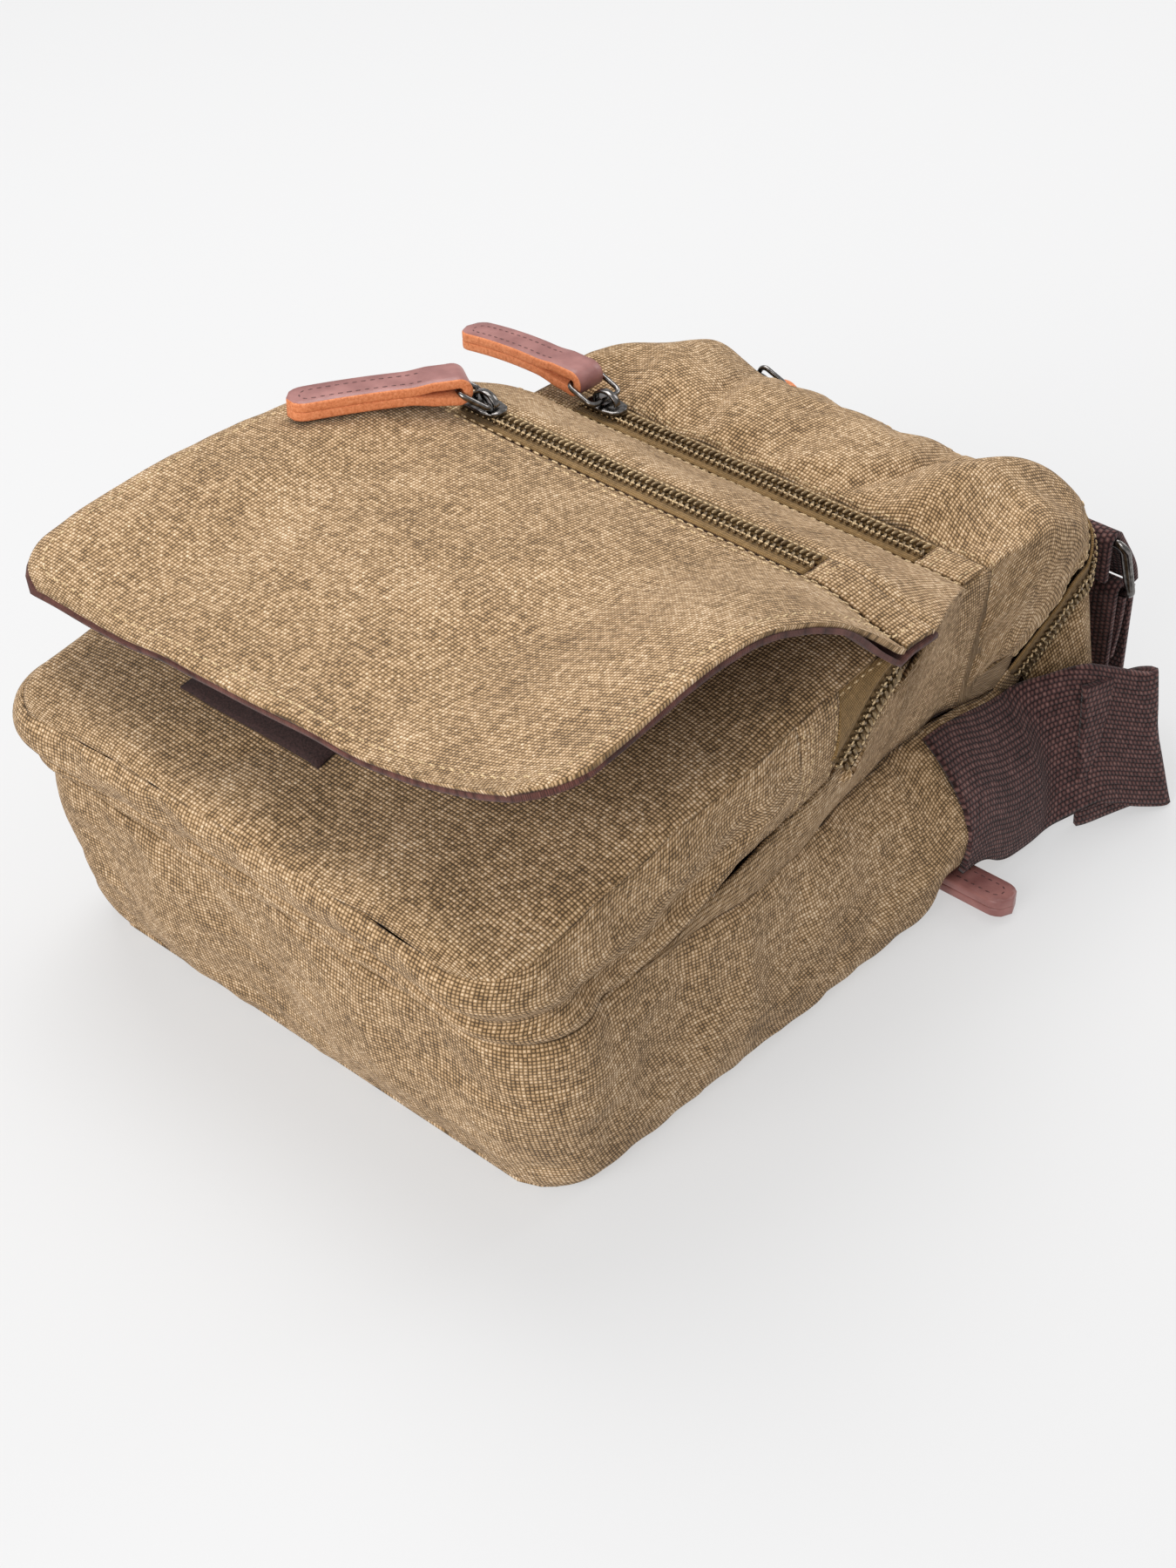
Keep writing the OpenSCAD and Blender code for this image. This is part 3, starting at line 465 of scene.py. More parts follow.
def buildStage():
    a, e = math.radians(stage["azimuth"]), math.radians(stage["elevation"])
    back = Vector((math.sin(a) * math.cos(e), -math.cos(a) * math.cos(e), math.sin(e)))
    target = Vector(toFrame([stage["target"]])[0])
    data = bpy.data.cameras.new("camera")
    data.lens = stage["lens"]
    data.sensor_width = stage["sensor"]
    data.clip_start = 0.01
    camera = link(bpy.data.objects.new("camera", data))
    camera.location = target + back * stage["distance"] * mm
    camera.rotation_euler = back.to_track_quat("Z", "Y").to_euler()
    bpy.context.scene.camera = camera

    floorMesh = bpy.data.meshes.new("floor")
    r = stage["floorHalf"]
    floorMesh.from_pydata([(-r, -r, 0), (r, -r, 0), (r, r, 0), (-r, r, 0)], [], [(0, 1, 2, 3)])
    floor = link(bpy.data.objects.new("floor", floorMesh))
    material, tree, shader = newMaterial("paleFloor")
    setShader(shader, {"Base Color": shade(stage["floorColour"]), "Roughness": 0.9, "Specular IOR Level": 0.0,
                       "Emission Color": shade("#FFFFFF"), "Emission Strength": stage["floorGlow"]})
    floorMesh.materials.append(material)

    world = bpy.data.worlds.new("studio")
    bpy.context.scene.world = world
    world.use_nodes = True
    setShader(world.node_tree.nodes["Background"], {"Color": shade(stage["sky"]), "Strength": stage["skyGlow"]})
    for name, place, size, watts in softboxes:
        lamp = bpy.data.lights.new(name, "AREA")
        lamp.shape = "SQUARE"
        lamp.size = size
        lamp.energy = watts
        holder = link(bpy.data.objects.new(name, lamp))
        holder.location = place
        holder.rotation_euler = (Vector(place) - Vector((0, 0, 0.05))).to_track_quat("Z", "Y").to_euler()
    bpy.context.scene.view_settings.view_transform = "Standard"
    bpy.context.scene.view_settings.look = "None"


buildStage()
print("camera and stage ready")


def buildRepeatTree():
    tree = bpy.data.node_groups.new("repeatAlongPath", "GeometryNodeTree")
    for name, kind in (("Geometry", "Geometry"), ("Shape", "Object"), ("Size", "Vector"),
                       ("Size jitter", "Float"), ("Material", "Material")):
        tree.interface.new_socket(name, in_out="INPUT", socket_type=f"NodeSocket{kind}")
    tree.interface.new_socket("Geometry", in_out="OUTPUT", socket_type="NodeSocketGeometry")
    start = addNode(tree, "NodeGroupInput")
    info = addNode(tree, "GeometryNodeObjectInfo", {"transform_space": "ORIGINAL"},
                   {"Object": start.outputs["Shape"]})
    along, out = (addNode(tree, "GeometryNodeInputNamedAttribute", {"data_type": "FLOAT_VECTOR"}, {"Name": key})
                  for key in ("along", "out"))
    turned = addNode(tree, "FunctionNodeAlignEulerToVector", {"axis": "Z"}, {"Vector": out.outputs[0]})
    lined = addNode(tree, "FunctionNodeAlignEulerToVector", {"axis": "X", "pivot_axis": "Z"},
                    {"Rotation": turned.outputs[0], "Vector": along.outputs[0]})
    low = maths(tree, "SUBTRACT", 1.0, start.outputs["Size jitter"])
    high = maths(tree, "ADD", 1.0, start.outputs["Size jitter"])
    vary = addNode(tree, "FunctionNodeRandomValue", {"data_type": "FLOAT"}, {2: low, 3: high, "Seed": 4})
    size = addNode(tree, "ShaderNodeVectorMath", {"operation": "SCALE"},
                   {0: start.outputs["Size"], "Scale": vary.outputs[1]})
    placed = addNode(tree, "GeometryNodeInstanceOnPoints",
                     links={"Points": start.outputs["Geometry"], "Instance": info.outputs["Geometry"],
                            "Rotation": lined.outputs[0], "Scale": size.outputs[0]})
    real = addNode(tree, "GeometryNodeRealizeInstances", links={0: placed.outputs[0]})
    dressed = addNode(tree, "GeometryNodeSetMaterial",
                      links={"Geometry": real.outputs[0], "Material": start.outputs["Material"]})
    end = addNode(tree, "NodeGroupOutput")
    tree.links.new(dressed.outputs[0], end.inputs[0])
    return tree


repeatTree = buildRepeatTree()


def bead(name, segments=8, rings=5, square=0.8):
    # A rounded bar of unit size, for teeth and stitches.
    bm = bmesh.new()
    bmesh.ops.create_uvsphere(bm, u_segments=segments, v_segments=rings, radius=0.5)
    for v in bm.verts:
        v.co = Vector([math.copysign(abs(c * 2) ** square, c) * 0.5 for c in v.co])
    for f in bm.faces:
        f.smooth = True
    mesh = bpy.data.meshes.new(name)
    bm.to_mesh(mesh)
    bm.free()
    return bpy.data.objects.new(name, mesh)


toothShape = bead("toothShape", 8, 6, 0.75)
stitchShape = bead("stitchShape", 6, 4, 0.8)


def repeatAlong(name, points, along, out, shape, size, look, jitter=0.0):
    # Places one shape at each point, its X along the line and its Z out of the cloth.
    mesh = bpy.data.meshes.new(name)
    mesh.from_pydata(toFrame(points).tolist(), [], [])
    for key, values in (("along", along), ("out", out)):
        attribute = mesh.attributes.new(key, "FLOAT_VECTOR", "POINT")
        attribute.data.foreach_set("vector", np.asarray(values, float).ravel())
    obj = link(bpy.data.objects.new(name, mesh))
    modifier = obj.modifiers.new("repeat", "NODES")
    modifier.node_group = repeatTree
    sockets = {s.name: s.identifier for s in repeatTree.interface.items_tree if s.in_out == "INPUT"}
    modifier[sockets["Shape"]] = shape
    modifier[sockets["Size"]] = [s * mm for s in size]
    modifier[sockets["Size jitter"]] = jitter
    modifier[sockets["Material"]] = look
    return applied(obj)


def stitchLine(name, line, out, look, length=2.6, gapTo=3.4, thick=0.55, sink=0.1):
    # A row of stitches along a line that lies on the cloth.
    line = np.asarray(line, float)
    out = np.asarray(out, float)
    total = np.linalg.norm(np.diff(line, axis=0), axis=1).sum()
    count = max(2, int(total / gapTo))
    both = resample(np.hstack([line, out]), count * 2 + 1)[1::2]
    spots = both[:, :3]
    normals = unit(both[:, 3:])
    along = unit(np.gradient(spots, axis=0))
    size = (length, thick * 1.2, thick)
    return repeatAlong(name, spots - normals * sink, along, normals, stitchShape, size, look, 0.08)


def joined(name, parts):
    if len(parts) == 1:
        parts[0].name = parts[0].data.name = name
        return parts[0]
    bpy.ops.object.select_all(action="DESELECT")
    for p in parts:
        p.select_set(True)
    bpy.context.view_layer.objects.active = parts[0]
    bpy.ops.object.join()
    parts[0].name = name
    parts[0].data.name = name
    return parts[0]


def finishPiece(obj, bodyName, nodes=()):
    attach(obj, bodyName)
    if nodes:
        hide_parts(*nodes)
    return obj


def groove(y):
    return zips["backZ"] * ramp(148, 162, y) * (1 - ramp(176, 190, y))


def seamZ(y):
    fall = (body["depthBottom"] - body["depthSide"]) * ramp(20, 150, y)
    return body["depthBottom"] - fall - 5 * ramp(170, 206, y)


def sideInset(y):
    return 17 * ramp(60, 165, y)


def wallZ(y):
    return 61.5 + 35 * (np.clip(y, 0, 171) / 171) ** 1.8


def wallHalf(y):
    return body["halfWidth"] - 3 - 7 * ramp(100, 171, y)


def faceZ(y):
    return mix(pocket["faceLow"], pocket["faceHigh"], (y - pocket["low"]) / (pocket["top"] - pocket["low"]))


def faceTop(x, y):
    share = np.abs(x) / body["halfWidth"]
    return faceZ(y) + pocket["puff"] * (1 - share ** 2) + 0.5 * ripple(x, y, 55, 51) * (1 - share ** 4)


def flapRidge(x):
    return flap["ridgeZ"] - 7 * ramp(66, 97, np.abs(x))


def flapFree(x):
    return 113.3 + 6 * ramp(-75, 5, x) + 20 * (np.maximum(0, x - 20) / 75) ** 2


def flapArch(x):
    return 6 + 14.4 * ramp(30, 95, x) + 6 * ramp(50, 95, -x)


def flapRise(x, v):
    sharp = v ** 0.35 * (1 - v) ** 0.6 / 0.535
    soft = v ** 1.1 * (1 - v) ** 1.6 / 0.161
    return mix(sharp, soft, ramp(-70, -10, x))


def flapZ(x, y):
    v = np.clip(((flap["ridgeY"] - y) / (flap["ridgeY"] - flap["freeY"]) - 0.1) / 0.9, 0, 1)
    return mix(flapRidge(x), flapFree(x), v) + flapArch(x) * flapRise(x, v)


def flapSteep(x, y):
    slope = np.hypot(flapZ(x + 0.5, y) - flapZ(x - 0.5, y), flapZ(x, y + 0.5) - flapZ(x, y - 0.5))
    return np.minimum(3, np.sqrt(1 + slope ** 2) + 0.25)


def liningDrop(x, y):
    dip = 2.3 * ramp(98, 112, y) * (1 - ramp(84, 94, np.abs(x)) * ramp(118, 124, y))
    dip = dip + 1.2 * ramp(70, 92, -x) * ramp(104, 112, y) * (1 - ramp(118, 124, y))
    return 1.5 * flapSteep(x, y) + dip


def bottomPath(half, r, top, spacing):
    # Points and outward normals down the right side, across the bottom and up the left side.
    side = np.linspace(top, r, max(2, int((top - r) / spacing)))
    turn = np.radians(np.linspace(0, -90, max(4, int(r * 1.57 / spacing)) + 1)[1:-1])
    base = np.linspace(half - r, r - half, max(2, int(2 * (half - r) / spacing)))
    right = [(half, y, 1, 0) for y in side]
    corner = [(half - r + r * math.cos(a), r + r * math.sin(a), math.cos(a), math.sin(a)) for a in turn]
    across = [(x, 0, 0, -1) for x in base]
    mirrored = [(-x, y, -nx, ny) for x, y, nx, ny in (right + corner)[::-1]]
    return np.array(right + corner + across + mirrored)


def mainGussetGrid(spacing=3.0):
    path = bottomPath(body["halfWidth"], body["corner"], body["gussetTop"], spacing)
    f = np.linspace(0, 1, int(62 / spacing) + 1)
    x, y, nx, ny = (path[:, k:k + 1] for k in range(4))
    low = np.maximum(0, -ny)
    lift = np.where(nx > 0.9, 9 * ramp(150, 161, y) * (1 - ramp(177, 188, y)), 0)
    out = body["lean"] * low * f - np.abs(nx) * sideInset(y) * f ** 2.5 + 3.5 * arch(f)
    z = mix(lift, seamZ(y), f[None, :])
    s = np.arange(len(path))[:, None] * spacing
    out = out + arch(f) ** 0.5 * (0.9 * ripple(s, z, 46, 3) + 0.35 * ripple(s, z * 2, 17, 5))
    return surface(x + nx * out, y + ny * out, z)


def pocketGussetPoint(e, f):
    x, y, nx, ny = (e[:, k:k + 1] for k in range(4))
    low = np.maximum(0, -ny)
    foot = body["lean"] * low - 0.3 - 0.9 * ramp(25, 70, y)
    faceY = y - pocket["faceDrop"] * (1 - ramp(body["corner"], pocket["tabLow"], y))
    out = 2 * arch(f)
    z = mix(mix(seamZ(y) - 0.1, wallZ(y) + 0.3, ramp(20, 70, y)), faceTop(x, faceY) - 0.9, f)
    return surface(mix(x + nx * foot, x, f) + nx * out, mix(y + ny * foot, faceY, f) + ny * out, z)


def pocketGussetGrid(spacing=2.4):
    path = bottomPath(body["halfWidth"], body["corner"], pocket["tabLow"], spacing)
    f = np.linspace(0, 1, 15)[None, :]
    grid = pocketGussetPoint(path, f)
    s = np.arange(len(path))[:, None] * spacing
    fold = np.exp(-((f - 0.36 - 0.05 * ripple(s, 0, 90, 8)) / 0.13) ** 2)  # the pocket slumps into a long fold
    calm = 1 - ramp(45, 80, path[:, 1:2])
    puff = 2.6 * arch(f) ** 0.7 * (0.4 + 0.6 * calm) - 4.6 * fold * calm
    puff = puff + 0.55 * arch(f) * ripple(s, 30 * f, 24, 9)
    out = np.concatenate([path[:, 2:4], np.zeros((len(path), 1))], axis=1)[:, None, :]
    return grid + out * puff[..., None]


def mainZipPath(count):
    # Centre line of the main zip with its outward normals, over the top and down both corners.
    right = []
    for s in np.linspace(0, 1, 5):
        out = unit(np.array([1, 0.1 + 0.15 * s, 0.1]))
        right.append([mix(73, 79, s), mix(212, 229, s), mix(46, 68, s), *out])
    for a in np.arange(20, 91, 17.5):
        c, d = math.cos(math.radians(a)), math.sin(math.radians(a))
        z = mix(68, zips["mainZ"], float(ramp(0, 80, a)))
        right.append([65 + 14.5 * c, 230.5 + 14.5 * d, z, c, d, 0])
    top = [[x, zips["mainY"], zips["mainZ"], 0, 1, 0] for x in np.linspace(50, -50, 7)]
    left = [[-p[0], p[1], p[2], -p[3], p[4], p[5]] for p in right[::-1]]
    path = resample(np.array(right + top + left), count)
    return path[:, :3], unit(path[:, 3:])


def pocketZipPath(count):
    half = body["halfWidth"]
    r = pocket["zipTurn"]
    rows = [(half + 1.3, y, 1, 0) for y in np.linspace(103.5, zips["pocketY"] - r, 5)]
    cx, cy = half + 1.3 - r, zips["pocketY"] - r
    rows += [(cx + r * math.cos(a), cy + r * math.sin(a), math.cos(a), math.sin(a))
             for a in np.radians(np.arange(15, 76, 15))]
    rows += [(x, zips["pocketY"], 0, 1) for x in np.linspace(half - r, 0, 5)]
    rows += [(-x, y, -nx, ny) for x, y, nx, ny in rows[::-1][1:]]
    rows = np.array(rows)
    z = pocket["zipZ"] - 19.5 * (1 - ramp(99, 125, rows[:, 1]))
    path = resample(np.column_stack([rows[:, 0], rows[:, 1], z, rows[:, 2], rows[:, 3], 0 * z]), count)
    return path[:, :3], unit(path[:, 3:])


def straightZipPath(count, y, z, out):
    x = np.linspace(zips["half"], -zips["half"], count)
    return np.stack([x, 0 * x + y, 0 * x + z], axis=1), np.tile(np.array(out, float), (count, 1))


def acrossOf(points, normals):
    return unit(np.cross(normals, np.gradient(points, axis=0)))


zipRoutes = {
    "flap": ("flap", lambda n: straightZipPath(n, zips["flapY"], flap["ridgeZ"] - 0.4, (0, 0, 1))),
    "middle": ("bag", lambda n: straightZipPath(n, zips["middleY"], zips["middleZ"], (0, 0, 1))),
    "back": ("bag", lambda n: straightZipPath(n, zips["backY"], zips["backZ"], (0, 0, -1))),
    "main": ("bag", mainZipPath),
    "pocket": ("bag", pocketZipPath),
}


def buildZip(name):
    bodyName, route = zipRoutes[name]
    points, normals = route(120)
    across = acrossOf(points, normals)
    halves = []
    for s in (-1, 1):
        w = np.array([0.7, 2.0, 3.4, 4.4, zips["tapeHalf"]]) * s
        lift = np.array([0.4, 0.4, 0.3, 0.35, 0.3])
        grid = points[:, None] + across[:, None] * w[None, :, None] + normals[:, None] * lift[None, :, None]
        grid = grid if s > 0 else grid[:, ::-1]
        if (gridNormals(grid) * normals[:, None]).sum() < 0:
            grid = grid[::-1]
        halves.append(thicken(gridMesh(f"{name}TapeHalf", grid, looks["tape"]), 0.7))
    tape = joined(f"{name}_zip_tape_cloth", halves)
    finishPiece(tape, bodyName, [f"{name}_zip_tape"])
    length = np.linalg.norm(np.diff(points, axis=0), axis=1).sum()

    count = int(length / zips["pitch"])
    points, normals = route(count * 2 + 1)
    across = acrossOf(points, normals)
    along = unit(np.gradient(points, axis=0))
    rows = []
    for s in (-1, 1):
        pick = slice(0 if s > 0 else 1, None, 2)
        spot = points[pick] + across[pick] * (s * zips["toothOut"]) + normals[pick] * zips["toothRise"]
        lean = unit(across[pick] * s - along[pick] * zips["toothLean"])
        rows.append(repeatAlong(f"{name}Teeth", spot, lean, normals[pick], toothShape, zips["tooth"],
                                looks["coil"], 0.03))
        seamRow = points + across * (s * zips["seamOut"]) + normals * zips["seamRise"]
        rows.append(stitchLine(f"{name}ChainStitch", seamRow, normals, looks["thread"], 1.5, 1.9, 0.5, 0.15))
    chain = joined(f"{name}_zip_coil", rows)
    finishPiece(chain, bodyName, [f"{name}_zip_chain"])


def canvasPiece(name, grid, nodes, bodyName="bag", dip=1.0, dipWidth=2.2, sides="abcd", thick=1.4,
                subdivide=1, pressure=0.0, grow=0.0, cap=4.0, look="canvas", centre=None, slotName="canvas"):
    grid = facingOut(grid, centre or body["bagCentre"])
    obj = gridMesh(name, grid, looks[look])
    if pressure or grow:
        settle(obj, borders(*grid.shape[:2]), pressure, grow, cap)
        flat = np.zeros(len(obj.data.vertices) * 3)
        obj.data.vertices.foreach_get("co", flat)
        grid = flat.reshape(*grid.shape) / mm
        grid[..., 1] += bagMiddle
    if dip:
        grid = seamDip(grid, dip, dipWidth, sides)
        obj.data.vertices.foreach_set("co", toFrame(grid).ravel())
    thicken(obj, thick, -1.0, subdivide)
    finishPiece(obj, bodyName, nodes)
    declareCloth(grid)
    return grid


def stitchRows(name, bodyName, rows, look="thread", length=2.3, pitch=3.2):
    parts = [stitchLine(f"{name}Row", line, normals, looks[look], length, pitch) for line, normals in rows]
    finishPiece(joined(name, parts), bodyName)


def panelRows(spacing, *stops):
    rows = [np.linspace(a, b, max(2, int(abs(b - a) / spacing) + 1)) for a, b in zip(stops[:-1], stops[1:])]
    return np.unique(np.concatenate(rows))


def buildBack():
    half = body["halfWidth"] - 1.8
    for part, stops in (("lower", (0.4, 163.4)), ("upper", (174.6, 239.6))):
        y = panelRows(2.5, *stops)[:, None]
        if part == "lower":
            h = rounded(half, body["corner"], y)
        else:
            h = rounded(half, body["topCorner"], body["height"] - y)
        x = h * np.linspace(-1, 1, 61)[None, :]
        z = groove(y) * ramp(-89, -72, x) + 0.2 + 0.35 * (1 + ripple(x, y, 60, 11)) * ramp(0, 12, y) * 0.5
        canvasPiece(f"back_panel_{part}_cloth", surface(x, y, z), [f"back_panel_{part}"], dip=0, subdivide=0)
    for s in (-1, 1):
        x = np.linspace(zips["half"] + 0.3, 73, 6) * s
        y = np.linspace(zips["backY"] - 5.4, zips["backY"] + 5.4, 6)[:, None]
        side = "right" if s > 0 else "left"
        canvasPiece(f"back_zip_tab_{side}_cloth", surface(x, y, zips["backZ"] - 0.8), ["back_zip_tabs"], dip=0,
                    subdivide=0)


def buildGussets():
    canvasPiece("main_gusset_cloth", mainGussetGrid(), ["main_gusset"], dip=1.3, pressure=2.0, grow=0.012,
                cap=4.0)
    canvasPiece("pocket_gusset_cloth", pocketGussetGrid(), ["pocket_gusset"], dip=0.7, sides="cd",
                pressure=0.0, grow=0.01, cap=2.0)
    # the band behind the main zip
    n = 110
    points, normals = mainZipPath(n)
    across = acrossOf(points, normals)
    top, r, half = body["height"], body["topCorner"], body["halfWidth"]
    right = [(half, y) for y in np.linspace(208, top - r, 8)]
    right += arcPoints(half - r, top - r, r, 15, 75, 5)
    right += [(x, top) for x in np.linspace(half - r, 0, 10)]
    left = [(-x, y) for x, y in right[::-1][1:]]
    edge = resample(np.array([(x, y, 0) for x, y in right + left]), n)
    sign = 1 if (across[n // 2] @ np.array([0, 0, 1])) > 0 else -1
    zipEdge = points - sign * across * (zips["tapeHalf"] + 0.2)
    f = np.linspace(0, 1, 26)[None, :, None]
    out = unit(normals * np.array([1, 1, 0]))[:, None]
    s = np.arange(n)[:, None] * 4.0
    swell = 3 * arch(f[..., 0]) + 0.8 * arch(f[..., 0]) * ripple(s, 60 * f[..., 0], 40, 21)
    grid = mix(edge[:, None], zipEdge[:, None], f) + out * swell[..., None]
    canvasPiece("top_gusset_cloth", grid, ["top_gusset"], dip=1.0, subdivide=0)


def yokeLow(t):
    x = np.abs(t)
    u = np.clip((x - 0.62) / 0.38, 0, 1)
    across = np.sign(t) * mix(np.minimum(x / 0.62, 1) * 79.5, 73, u)
    return np.stack([across, mix(183, 187, u), mix(98, 50, u)], axis=1)


def buildYoke():
    n = 90
    points, normals = mainZipPath(n)
    across = acrossOf(points, normals)
    sign = 1 if (across[n // 2] @ np.array([0, 0, 1])) > 0 else -1
    upper = points + sign * across * (zips["tapeHalf"] + 0.2)
    lower = yokeLow(np.linspace(1, -1, n))
    f = np.linspace(0, 1, 30)[None, :, None]
    s = np.linspace(-100, 100, n)[:, None]
    flat = f[..., 0]
    lump = arch(flat) ** 0.8 * (1.0 * ripple(s, 55 * flat, 42, 31) + 0.6 * ripple(s, 55 * flat, 20, 32))
    grid = mix(upper[:, None], lower[:, None], f) + normals[:, None] * (arch(f) * 3)
    grid[..., 2] += 8 * arch(flat) ** 0.8 + lump
    # stuffed corners: one long roll near each end and a crease beside it
    for side, height in ((1, 1.0), (-1, 0.6)):
        roll = np.exp(-((side * grid[..., 0] - 62 + 14 * flat) / 9) ** 2) * arch(flat) ** 0.6
        crease = np.exp(-((side * grid[..., 0] - 46 + 20 * flat) / 3.6) ** 2) * arch(flat)
        pinch = np.exp(-((side * grid[..., 0] - 26 - 14 * flat) / 3.2) ** 2) * arch(flat)
        swell = height * (6.5 * roll - 5.0 * crease - 2.4 * pinch)
        grid = grid + (normals[:, None] * 0.5 + np.array([0, 0, 0.85])) * swell[..., None]
    yoke = canvasPiece("yoke_cloth", grid, ["yoke_panel"], dip=1.4, pressure=2.0, grow=0.02, cap=5.0)
    rows = [rowNear(yoke, (0, zips["mainY"], 85), inset, 0.02) for inset in (2.2, 5.0)]
    stitchRows("yoke_stitches", "bag", rows + [rowNear(yoke, (0, 183, zips["middleZ"]), 2.2, 0.16)])


def buildSideStrips():
    for s, side in ((1, "right"), (-1, "left")):
        y = panelRows(2.5, 30, 141, 151, 208)[:, None]
        f = np.linspace(0, 1, 14)[None, :]
        low = surface(body["halfWidth"] - sideInset(y) - 0.7, y, seamZ(y) - 0.6)
        wall = surface(wallHalf(y) + 0.8, y, wallZ(y) - 2.3)
        # above the pocket the strip runs up to the fold's edge, and past the fold it tucks under the yoke
        t = np.clip((y - flap["ridgeY"] - 1.2) / 34.5, 0, 1)
        foldX = mix(flap["half"] - 0.6, 80, t)
        fold = surface(foldX - 1.2, y, mix(flapRidge(foldX), zips["middleZ"] + 0.7, t) - 1.2)
        high = mix(wall, fold, ramp(142, 150, y)[..., None])
        high = mix(high, surface(74.5, y, 57), ramp(184, 190, y)[..., None])
        grid = mix(low, high, f[..., None]) * np.array([s, 1, 1])
        grid[..., 0] += s * (1.5 * arch(f) + 0.4 * ripple(y, 20 * f, 30, 41)) * (1 - ramp(176, 186, y))
        canvasPiece(f"middle_gusset_{side}_cloth", grid, [f"middle_gusset_{side}"], dip=0, subdivide=0)
        x = np.linspace(zips["half"] + 0.3, 78.2, 10)[None, :] * s
        w = np.linspace(-5.4, 5.4, 8)[:, None]
        grid = surface(x, zips["middleY"] + w, zips["middleZ"] + 0.8)
        tab = canvasPiece(f"middle_zip_tab_{side}_cloth", grid, ["middle_zip_tabs"], dip=0.5, dipWidth=1.0)
        near, far = ((s * end, zips["middleY"], zips["middleZ"]) for end in (zips["half"], 80))
        rows = [rowNear(tab, near, 1.6), rowNear(tab, near, 4.4), rowNear(tab, far, 2.0)]
        stitchRows(f"middle_zip_tab_{side}_stitches", "bag", rows, length=1.9, pitch=2.6)


def buildPocket():
    low, top, half, r = pocket["low"], pocket["top"], body["halfWidth"], body["corner"]
    y = panelRows(3.0, low + 0.3, low + r, top - r, top - 0.3)[:, None]
    h = np.minimum(rounded(half, r, y - low), rounded(half, pocket["zipTurn"] + 1, top - y))
    x = h * np.linspace(-1, 1, 62)[None, :]
    canvasPiece("pocket_face_cloth", surface(x, y, faceTop(x, y)), ["pocket_face"], dip=1.4, dipWidth=2.6,
                pressure=0.3, grow=0.008, cap=1.1, centre=(0, 60, 40))
    for s, side in ((1, "right"), (-1, "left")):
        yy = panelRows(2.4, pocket["tabLow"] + 0.2, pocket["tabTop"] - 0.2)
        e = np.array([(s * half, v, s, 0) for v in yy])
        tab = pocketGussetPoint(e, np.linspace(0, 1, 14)[None, :])
        tab[..., 0] += s * 0.6
        tab = canvasPiece(f"pocket_zip_tab_{side}_cloth", tab, ["pocket_zip_tabs"], dip=0.6, dipWidth=1.2)
        low, high = ((s * half, end, 90) for end in (pocket["tabLow"], pocket["tabTop"]))
        rows = [rowNear(tab, low, 1.6, 0.1), rowNear(tab, low, 4.6, 0.1), rowNear(tab, high, 2.0, 0.1)]
        stitchRows(f"pocket_zip_tab_{side}_stitches", "bag", rows, length=2.0, pitch=2.8)
    n = 130
    points, normals = pocketZipPath(n)
    across = acrossOf(points, normals)
    across = across * np.sign(across[n // 2, 2])
    yEdge = points[:, 1] - 1.3 * normals[:, 1]
    f = np.linspace(0, 1, 8)[None, :, None]
    for name, fromWall in (("pocket_top_gusset", True), ("pocket_zip_rim", False)):
        # the twill rim laps onto the tape
        reach = -zips["tapeHalf"] - 0.1 if fromWall else zips["tapeHalf"] - 1.7
        zipEdge = points + across * reach + normals * (0 if fromWall else 1.0)
        farZ = (np.minimum(wallZ(points[:, 1]) + 0.3, zipEdge[:, 2] - 1.5) if fromWall
                else faceZ(np.minimum(yEdge, top - 1)) - 1.8)
        tuck = 1.2 * ramp(3, 9, np.abs(zipEdge[:, 2] - farZ))
        far = np.column_stack([points[:, :2] - tuck[:, None] * normals[:, :2], farZ])
        grid = mix(zipEdge[:, None], far[:, None], f) + normals[:, None] * (0.8 * arch(f))
        band = canvasPiece(f"{name}_cloth", grid, [name], dip=0.5, dipWidth=1.0, sides="cd", subdivide=1,
                           centre=(0, 60, 90), look="canvas" if fromWall else "tape")
    stitchRows("pocket_zip_rim_stitches", "bag", [rowNear(band, (0, zips["pocketY"], 104), 1.4)], length=2.0,
               pitch=2.8)
    y = np.linspace(4.5, 34, 12)[:, None]
    x = np.linspace(-46, 5, 22)[None, :]
    canvasPiece("loop_patch_pile", surface(x, y, faceTop(x, y) + 2.4), ["loop_patch"], dip=0.8, dipWidth=1.0,
                thick=2.4, look="patch", slotName="hook_and_loop")


def flapColumns(count):
    x = np.linspace(-1, 1, count)
    return np.sign(x) * (1 - (1 - np.abs(x)) ** 1.15)


def flapRumple(x, y):
    calm = ramp(130, 90, y)
    return 0.45 * ripple(x, y, 48, 61) * calm + 0.18 * ripple(x, y, 17, 62) * calm


def flapGrid(y, count, inset=0.0):
    h = rounded(flap["half"] - inset, flap["corner"], y - flap["freeY"] - inset)
    x = flapColumns(count)[None, :] * h[:, None]
    y = y[:, None]
    return surface(x, y, flapZ(x, y) + flapRumple(x, y))


